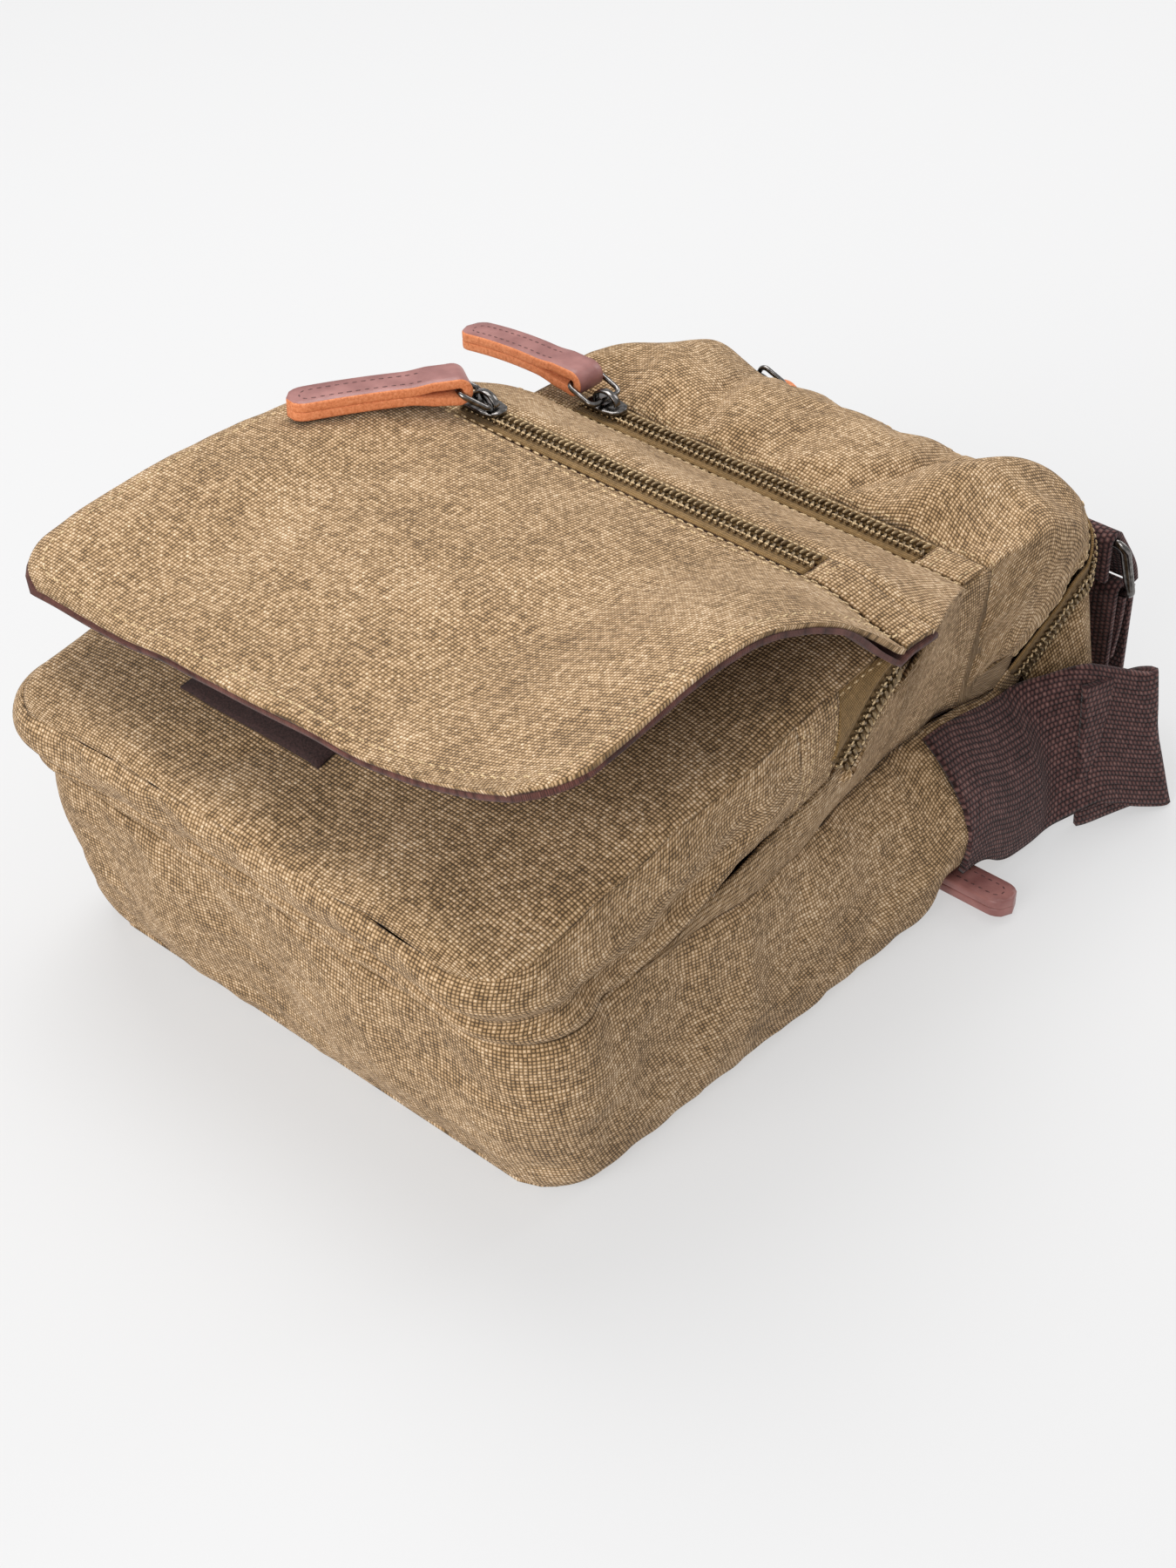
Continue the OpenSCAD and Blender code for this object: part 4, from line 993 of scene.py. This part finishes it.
def buildFlap():
    under = (0, 60, 20)
    y = panelRows(2.2, flap["freeY"] + 0.2, flap["freeY"] + flap["corner"], 122.0)
    canvasPiece("flap_cloth", flapGrid(y, 84), ["flap_canvas"], "flap", dip=0.9, dipWidth=1.6, thick=1.6,
                centre=under)
    for s in (-1, 1):
        x = np.linspace(zips["half"] + 0.2, flap["half"] - 0.1, 16)[None, :] * s
        w = np.linspace(122.1, 132.9, 8)[:, None]
        side = "right" if s > 0 else "left"
        tab = canvasPiece(f"flap_zip_tab_{side}_cloth", surface(x, w, flapZ(x, w) + 0.1), ["flap_zip_tabs"],
                          "flap", dip=0.5, dipWidth=1.0, centre=under)
        start = (s * zips["half"], zips["flapY"], flap["ridgeZ"])
        stitchRows(f"flap_zip_tab_{side}_stitches", "flap", [rowNear(tab, start, 1.6), rowNear(tab, start, 4.6)],
                   length=2.0, pitch=2.7)
    # the fold: from the flap zip over the ridge and down behind it to the middle zip
    xs = flapColumns(76)[None, :]
    x = xs * (flap["half"] - 0.1)
    rows = [surface(x, y, flapZ(x, y)) for y in np.linspace(133.0, flap["ridgeY"] - 1.4, 3)]
    for s in np.linspace(0.0, 1.0, 20):
        x = xs * mix(flap["half"] - 0.6, 80, s)
        y = mix(flap["ridgeY"] + 1.2, 171.2, s)
        z = mix(flapRidge(x) - 0.5, zips["middleZ"] + 0.2, s) + 1.5 * arch(s)
        z = z + arch(s) * (0.7 * ripple(x, y, 34, 71) + 0.3 * ripple(x, y, 13, 72))
        rows.append(surface(x, y, z))
    fold = facingOut(np.concatenate(rows, axis=0), under)
    obj = gridMesh("fold_strip_cloth", seamDip(fold, 0.8, 1.6), looks["canvas"])
    thicken(obj, 1.3, -1.0, 1)
    declareCloth(fold)
    stitchRows("hinge_strip_stitches", "bag",
               [rowNear(fold, (0, 171, zips["middleZ"]), inset, 0.02) for inset in (2.0, 5.4)])
    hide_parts("flap_top_strip", "hinge_strip")
    centre = toFrame([(0, flap["ridgeY"], 118.3)])[0]
    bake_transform(obj)

    rows = panelRows(2.5, flap["freeY"] + 0.5, flap["freeY"] + flap["corner"], 134.6)
    liningGrid = flapGrid(rows, 70, -0.3)
    liningGrid[..., 2] -= liningDrop(liningGrid[..., 0], liningGrid[..., 1]) + 0.3
    canvasPiece("flap_lining_cloth", liningGrid, ["flap_lining"], "flap", dip=0, thick=1.5, look="lining",
                subdivide=0, centre=under, slotName="lining")
    y = np.linspace(2, 28, 10)[:, None]
    x = np.linspace(-44, 3, 18)[None, :]
    canvasPiece("hook_patch_pile", surface(x, y, flapZ(x, y) - 2.6), ["hook_patch"], "flap", dip=0, thick=1.4,
                look="patch", subdivide=0, centre=under, slotName="hook_and_loop")
    stitchFlap()


def stitchFlap():
    # stitching round the free edge, and two rows beside the zip
    inset = flap["stitchInset"]
    h = flap["half"] - inset
    yLow = flap["freeY"] + inset
    r = flap["corner"] - inset
    line = [(h, v) for v in np.linspace(131, yLow + r, 50)]
    line += arcPoints(h - r, yLow + r, r, -10, -80, 7)
    line += [(v, yLow) for v in np.linspace(h - r, r - h, 70)]
    line += [(-x, v) for x, v in line[:57][::-1]]
    x, y = np.array(line).T
    lines = [surface(x, y, flapZ(x, y) + flapRumple(x, y) + 0.1)]
    x = np.linspace(-92, 92, 90)
    lines += [surface(x, y, flapZ(x, y) + 0.15) for y in (120.4, 117.6)]
    rows = [stitchLine("flapStitch", edge, np.tile([0, 0, 1.0], (len(edge), 1)), looks["thread"])
            for edge in lines]
    finishPiece(joined("flap_stitches", rows), "flap")


def zipFrame(name):
    # A matrix from the zip's own axes (x along it, z out of the cloth) to the row frame, in metres.
    spots = {"flap": ((0, zips["flapY"], flap["ridgeZ"] - 0.4), "up"),
             "middle": ((0, zips["middleY"], zips["middleZ"]), "up"),
             "pocket": ((0, zips["pocketY"], pocket["zipZ"]), "top"),
             "main": ((0, zips["mainY"], zips["mainZ"]), "top"),
             "back": ((0, zips["backY"], zips["backZ"]), "down")}
    spot, facing = spots[name]
    turn = {"up": Matrix.Identity(4), "top": Matrix.Rotation(-math.pi / 2, 4, "X"),
            "down": Matrix.Rotation(math.pi, 4, "X")}[facing]
    return Matrix.Translation(Vector(toFrame([spot])[0])) @ turn


def moved(obj, matrix):
    obj.data.transform(matrix)
    obj.data.update()
    return obj


def solidOutline(name, outline, low, high, bevel, look):
    # A flat plate cut to an outline, with rounded edges.
    bm = bmesh.new()
    bottom = [bm.verts.new((x * mm, y * mm, low * mm)) for x, y in outline]
    face = bm.faces.new(bottom)
    grown = bmesh.ops.extrude_face_region(bm, geom=[face])
    for v in grown["geom"]:
        if isinstance(v, bmesh.types.BMVert):
            v.co.z = high * mm
    bmesh.ops.recalc_face_normals(bm, faces=bm.faces)
    bmesh.ops.bevel(bm, geom=list(bm.edges), offset=bevel * mm, segments=3, profile=0.5, affect="EDGES",
                    clamp_overlap=True)
    for f in bm.faces:
        f.smooth = True
    mesh = bpy.data.meshes.new(name)
    bm.to_mesh(mesh)
    bm.free()
    mesh.materials.append(look)
    return link(bpy.data.objects.new(name, mesh))


def facesOutward(mesh):
    bm = bmesh.new()
    bm.from_mesh(mesh)
    bmesh.ops.recalc_face_normals(bm, faces=bm.faces)
    bm.to_mesh(mesh)
    bm.free()


def sideOf(line):
    # The direction square to a line in its plane, at each point.
    d = unit(np.gradient(line, axis=0))
    return np.stack([-d[:, 1], d[:, 0]], axis=1)


def tubeFaces(rings, count):
    # Quads between rings of count points each, one ring after the other.
    return [(i * count + j, i * count + (j + 1) % count, (i + 1) * count + (j + 1) % count, (i + 1) * count + j)
            for i in range(rings - 1) for j in range(count)]


def wireTube(name, centres, radius, look):
    # A ring of round wire through points in mm.
    curve = bpy.data.curves.new(name, "CURVE")
    curve.dimensions = "3D"
    spline = curve.splines.new("POLY")
    spline.points.add(len(centres) - 1)
    for point, c in zip(spline.points, centres):
        point.co = (*[k * mm for k in c], 1)
    spline.use_cyclic_u = True
    curve.bevel_depth = radius * mm
    curve.bevel_resolution = 3
    curve.use_fill_caps = False
    obj = link(bpy.data.objects.new(name, curve))
    depsgraph = bpy.context.evaluated_depsgraph_get()
    mesh = bpy.data.meshes.new_from_object(obj.evaluated_get(depsgraph), depsgraph=depsgraph)
    bpy.data.objects.remove(obj)
    mesh.materials.clear()
    mesh.materials.append(look)
    mesh.polygons.foreach_set("use_smooth", [True] * len(mesh.polygons))
    return link(bpy.data.objects.new(name, mesh))


def roundedLoop(length, width, bend):
    points = []
    for cx, cy, start in ((length - bend, width / 2 - bend, 0), (bend, width / 2 - bend, 90),
                          (bend, bend - width / 2, 180), (length - bend, bend - width / 2, 270)):
        points += [(x, y, 0) for x, y in arcPoints(cx, cy, bend, start, start + 90, 9)]
    return points


def buildSlider(name):
    spec = pulls[name]
    z = hardware["plateZ"]
    shield = [(-6.4, -2.6), (-5.2, -3.9), (2.0, -4.3), (5.4, -3.4), (6.6, -1.6)]
    shield += [(x, -y) for x, y in shield[::-1]]
    under = [(x * 0.82, y * 0.95) for x, y in shield]
    parts = [solidOutline("topPlate", shield, z, z + 1.3, 0.4, looks["metal"]),
             solidOutline("underPlate", under, -2.6, -1.4, 0.35, looks["metal"]),
             solidOutline("post", [(-2.2, -0.4), (2.2, -0.4), (2.2, 0.4), (-2.2, 0.4)], -1.6, z + 0.2, 0.1,
                          looks["metal"])]
    # the bridge is a flat strip bent over the plate
    bow = [(-4.2 * math.cos(a), 1.1 + 3.0 * math.sin(a)) for a in np.radians(np.linspace(0, 180, 15))]
    line = np.array([(-4.2, 0.3)] + bow + [(4.2, 0.3)])
    section = [(-1.0, 0.45), (-1.15, 0.25), (-1.15, -0.25), (-1.0, -0.45)]
    section += [(-w, t) for w, t in section[::-1]]
    points = [((p[0] + n[0] * t) * mm, w * mm, (z + 1.0 + p[1] + n[1] * t) * mm)
              for p, n in zip(line, sideOf(line)) for w, t in section]
    k = len(section)
    faces = tubeFaces(len(line), k) + [tuple(range(k))[::-1], tuple(range(len(points) - k, len(points)))]
    mesh = bpy.data.meshes.new("bridge")
    mesh.from_pydata(points, [], faces)
    mesh.polygons.foreach_set("use_smooth", [True] * len(mesh.polygons))
    mesh.materials.append(looks["metal"])
    parts.append(link(bpy.data.objects.new("bridge", mesh)))
    slider = joined(f"{name}_slider_metal", parts)
    facesOutward(slider.data)
    moved(slider, zipFrame(name) @ Matrix.Translation(Vector((spec["x"] * mm, 0, 0))))
    finishPiece(slider, f"{name}_slider", [f"{name}_slider"])

    base = zipFrame(name) @ Matrix.Translation(Vector((spec["x"] * mm, 0, hardware["barZ"] * mm)))
    base = base @ Matrix.Rotation(math.radians(spec["turn"]), 4, "Z")
    base = base @ Matrix.Rotation(-math.radians(spec["rise"]), 4, "Y")
    loop = roundedLoop(hardware["linkLen"], hardware["linkW"], hardware["linkBend"])
    ring = wireTube(f"{name}_pull_ring_wire", loop, hardware["wire"], looks["metal"])
    moved(ring, base)
    finishPiece(ring, f"{name}_pull_ring", [f"{name}_pull_ring"])

    far = base @ Matrix.Translation(Vector((hardware["linkLen"] * mm, 0, 0)))
    far = far @ Matrix.Rotation(math.radians(spec["rise"] - spec["slope"]), 4, "Y")
    buildPull(name, spec, far)


def buildPull(name, spec, matrix):
    # Leather folded over the ring's bar and stitched to itself: two layers with their cut edges showing.
    length, width, t, foldR = leather["len"], leather["w"], leather["t"], leather["foldR"]
    mid = foldR + t / 2

    def layerMiddle(x):
        return mix(mid, t / 2 + 0.03, float(ramp(3, 14, x)))

    rows = [(x, layerMiddle(x)) for x in np.linspace(length, 7, 30)]
    for a in np.radians(np.linspace(72, 288, 22)):
        reach = mid * math.cos(a)
        rows.append((reach if reach < 0 else reach * 1.6, mid * math.sin(a)))
    rows += [(x, -layerMiddle(x)) for x in np.linspace(7, length, 30)]
    line = np.array(rows)
    side = sideOf(line)
    if side[len(side) // 2] @ np.array([-1, 0]) < 0:
        side = -side
    r = width / 2
    tip = np.sqrt(np.maximum(0.01, r * r - (line[:, 0] - length + r) ** 2))
    half = np.where(line[:, 0] > length - r, tip, r)
    # across the strip, through its thickness, and 1 on the raw edge
    profile = [(-0.93, 0.5, 0), (-1.0, 0.36, 1), (-1.0, 0.12, 1), (-1.0, -0.12, 1), (-1.0, -0.4, 1),
               (-0.96, -0.5, 1)]
    profile += [(-w, o, raw) for w, o, raw in profile[::-1]] + [(w, 0.5, 0) for w in (0.5, 0.0, -0.5)]
    k = len(profile)

    def bend(x, z):
        s = max(0.0, x) / length
        return z + spec["arch"] * arch(min(1, s)) - spec["droop"] * max(0, s - 0.35) ** 1.5

    points = []
    for (x, z), n, h in zip(line, side, half):
        for w, o, _ in profile:
            px, pz = x + n[0] * o * t, z + n[1] * o * t
            points.append((px * mm, w * h * mm, bend(px, pz) * mm))
    faces = tubeFaces(len(line), k) + [tuple(range(k))[::-1], tuple(range(len(points) - k, len(points)))]
    looksOf = [int(profile[j][2] or profile[(j + 1) % k][2]) for j in range(k)] * (len(line) - 1) + [1, 1]
    mesh = bpy.data.meshes.new(f"{name}Pull")
    mesh.from_pydata(points, [], faces)
    mesh.materials.append(looks["leatherFace"])
    mesh.materials.append(looks["leatherFace" if name == "back" else "leatherEdge"])
    mesh.polygons.foreach_set("material_index", looksOf)
    mesh.polygons.foreach_set("use_smooth", [True] * len(mesh.polygons))
    obj = link(bpy.data.objects.new(f"{name}_pull_leather", mesh))
    facesOutward(mesh)
    # stitching: a long oval through both layers
    oval = [(x, 2.4) for x in np.linspace(9, length - 6, 24)]
    oval += [(length - 6 + 2.4 * math.sin(a), 2.4 * math.cos(a)) for a in np.radians(np.linspace(20, 160, 6))]
    oval += [(x, -2.4) for x in np.linspace(length - 6, 9, 24)]
    oval = np.array(oval)
    sides = []
    for s in (1, -1):
        z = np.array([bend(x, s * (layerMiddle(x) + t / 2)) for x in oval[:, 0]])
        pts = np.column_stack([oval, z])
        pts[:, 1] += bagMiddle  # stitchLine takes the pattern's heights
        sides.append(stitchLine(f"{name}PullStitch", pts, np.tile([0, 0, float(s)], (len(pts), 1)),
                                looks["darkThread"], 1.8, 2.4, 0.5, 0.12))
    pull = joined(f"{name}_pull_leather", [obj] + sides)
    moved(pull, matrix)
    finishPiece(pull, f"{name}_leather_pull", [f"{name}_leather_pull"])


def webbingPiece(name, grid, bodyName="bag"):
    obj = gridMesh(f"{name}_webbing", grid, looks["webbing"])
    thicken(obj, strap["t"], 0.0, 0)
    finishPiece(obj, bodyName, [name])
    _, v = arcLengths(grid)
    length = float((v[-1] - v[0]).mean())
    return length


def strapRight():
    y = np.linspace(165, 206, 21)
    f = np.linspace(0.03, 0.98, 24)[None, :]
    out = -sideInset(y)[:, None] * f ** 2.5 + 3.5 * arch(f)
    lift = 9 * ramp(150, 161, y) * (1 - ramp(177, 188, y))
    z = mix(lift[:, None], seamZ(y)[:, None], f) + 0.3
    sewn = surface(body["halfWidth"] + out + strap["out"], y[:, None], z)
    lows = [(99.5, 221, 9), (103.5, 230, 4), (109, 240, 1), (111, 244, 0.5), (108.5, 246, 0.5),
            (104.5, 242, 0.5), (100, 228, 0.5), (97.4, 219, 0.5), (96, 216.6, 0.5)]
    highs = [(90, 219, 54), (95, 227, 51), (101, 235, 47.5), (103.5, 238.5, 47), (101.5, 240.5, 47),
             (98, 236, 47.5), (95.4, 226, 48), (93.4, 219, 48), (92.6, 217.2, 48)]
    low = resample(np.vstack([sewn[::5, 0], lows]), 90)
    high = resample(np.vstack([sewn[::5, -1], highs]), 90)
    free = mix(low[:, None], high[:, None], np.linspace(0, 1, 24)[None, :, None])
    # the first rows follow the bag's side, then the webbing springs free
    sewnFine = np.array([[np.interp(free[i, j, 1], y, sewn[:, j, 0]) for j in range(24)] for i in range(90)])
    hold = 1 - ramp(200, 214, free[..., 1])
    hold *= (np.arange(90) < 45)[:, None]
    free[..., 0] = mix(free[..., 0], sewnFine, hold)
    return free


def strapLongLine():
    last = strap["layers"] - 1
    gap, y0 = strap["gap"], strap["stackY"]
    line = [(-94.3, 206), (-95, 222), (-94, 240), (-91, 254), (-86, 268), (-83, y0 + last * gap - 3),
            (strap["left"] + 1, y0 + last * gap)]
    for k in range(last, 0, -1):
        right = (last - k) % 2 == 0
        cx = strap["right"] if right else strap["left"]
        cy = y0 + (k - 0.5) * gap
        for a in np.radians(np.linspace(75, -75, 7)):
            line.append((cx + (1 if right else -1) * gap / 2 * math.cos(a), cy + gap / 2 * math.sin(a)))
    line += [(strap["left"] + 3, y0), (0, y0), (50, y0), (76, y0)]
    return np.array(line, float)


def buildStrap():
    print("right strap length", round(webbingPiece("strap_right", strapRight())), "mm")

    line = strapLongLine()
    sewnY = np.linspace(175, 205, 10)
    f = np.linspace(0.06, 0.98, 14)
    path = resample(np.column_stack([line, 0 * line[:, 0]]), 700)[:, :2]
    z = np.linspace(0, strap["w"], 14) + strap["lift"]
    free = surface(path[:, 0:1], path[:, 1:2], z)
    out = -sideInset(sewnY)[:, None] * f ** 2.5 + 3.5 * arch(f)
    sewn = surface(-(body["halfWidth"] + out + strap["out"]), sewnY[:, None], seamZ(sewnY)[:, None] * f)
    print("long strap length", round(webbingPiece("strap_long", np.concatenate([sewn, free]))), "mm")

    r = strap["ringWire"] + 0.3 + strap["t"] / 2
    x = np.linspace(strap["ringX"][0], strap["ringX"][1], 20)
    cy, cz = strap["ringLow"]
    line = [(cy + 1.4 - r, 2), (cy - r, cz - 29), (cy - r, cz - 13)]
    line += arcPoints(cy, cz, r, 180, 0, 13)
    line += [(cy + r - 0.6, cz - 13), (cy - 0.6, cz - 23)]
    line = resample(np.array([(p, q, 0) for p, q in line]), 70)
    webbingPiece("strap_ring_loop", surface(x, line[:, 0:1], line[:, 1:2]))

    cy, cz = strap["ringHigh"]
    line = [(cy - r, cz - 12), (cy - r, cz - 6)]
    line += arcPoints(cy, cz, r, 180, 20, 13)
    line += [(262.6, 64), (266, 58.5), (267.4, 53.5)]
    line = resample(np.array([(p, q, 0) for p, q in line]), 60)
    webbingPiece("strap_end", surface(x, line[:, 0:1], line[:, 1:2]), "strap_ring")


def buildStrapRing():
    low, high = np.array(strap["ringLow"]), np.array(strap["ringHigh"])
    rise = float(np.linalg.norm(high - low))
    across, up = (high - low) / rise
    ring = wireTube("strap_ring_metal", roundedLoop(rise, strap["w"] + 6, 3), 1.9, looks["metal"])
    ring.data.transform(Matrix.Diagonal((1, 1, 0.6, 1)))
    place = Matrix(((0, 1, 0, 0), (across, 0, up, 0), (up, 0, -across, 0), (0, 0, 0, 1)))
    middle = (strap["ringX"][0] + strap["ringX"][1]) / 2
    moved(ring, Matrix.Translation(Vector(toFrame([(middle, *low)])[0])) @ place)
    finishPiece(ring, "strap_ring", ["strap_ring"])


def buildInnerWalls():
    # The walls between the compartments, and the end tabs of the main zip.
    x = np.linspace(-1, 1, 36)[None, :]
    y = panelRows(5, -12, 4, 200)[:, None]
    half = rounded(body["halfWidth"], body["corner"], y + 12) - sideInset(y) - body["canvas"] - 0.6
    lining = {"dip": 0, "thick": 1.0, "subdivide": 0, "look": "lining", "slotName": "lining"}
    canvasPiece("main_front_lining_cloth", surface(x * half, y, seamZ(y) - 0.6), ["main_front_panel"],
                centre=(0, 100, 0), **lining)
    y = panelRows(5, -12, 4, 170.8)[:, None]
    half = rounded(wallHalf(y), body["corner"], y + 12) - 0.3
    canvasPiece("middle_front_cloth", surface(x * half, y, wallZ(y)), ["middle_front_panel"], dip=0,
                subdivide=0, centre=(0, 100, 0))
    y = panelRows(4, 14, 184)[:, None]
    canvasPiece("back_pocket_lining_cloth", surface(x * 74, y, 3 + 1.25 * groove(y)), ["back_pocket_wall"],
                centre=(0, 100, 60), **lining)
    w = np.linspace(-zips["tapeHalf"], zips["tapeHalf"], 6)[None, :]
    s = np.linspace(0.02, -0.35, 6)[:, None]
    for side, name in ((1, "right"), (-1, "left")):
        grid = surface(side * mix(73, 79, s), mix(212, 229, s) - 0.8 * w, mix(46, 68, s) + 0.5 * w)
        canvasPiece(f"main_zip_tab_{name}_cloth", grid, ["main_zip_tabs"], dip=0.3, dipWidth=1.0)


def dressAdjuster():
    # The tri-glide already has its full shape and takes only a finish.
    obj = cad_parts["strap_adjuster"]
    if not obj.material_slots:
        obj.data.materials.append(looks["metal"])
    for slotOf in obj.material_slots:
        slotOf.material = looks["metal"]


buildBack()
buildGussets()
print("back and gussets made")
buildYoke()
buildSideStrips()
buildPocket()
print("front panels made")
buildFlap()
print("flap made")
for zipName in zipRoutes:
    buildZip(zipName)
print("zips made")
for zipName in pulls:
    buildSlider(zipName)
print("sliders, rings and pulls made")
buildStrap()
buildStrapRing()
buildInnerWalls()
print("strap and inner walls made")
dressAdjuster()
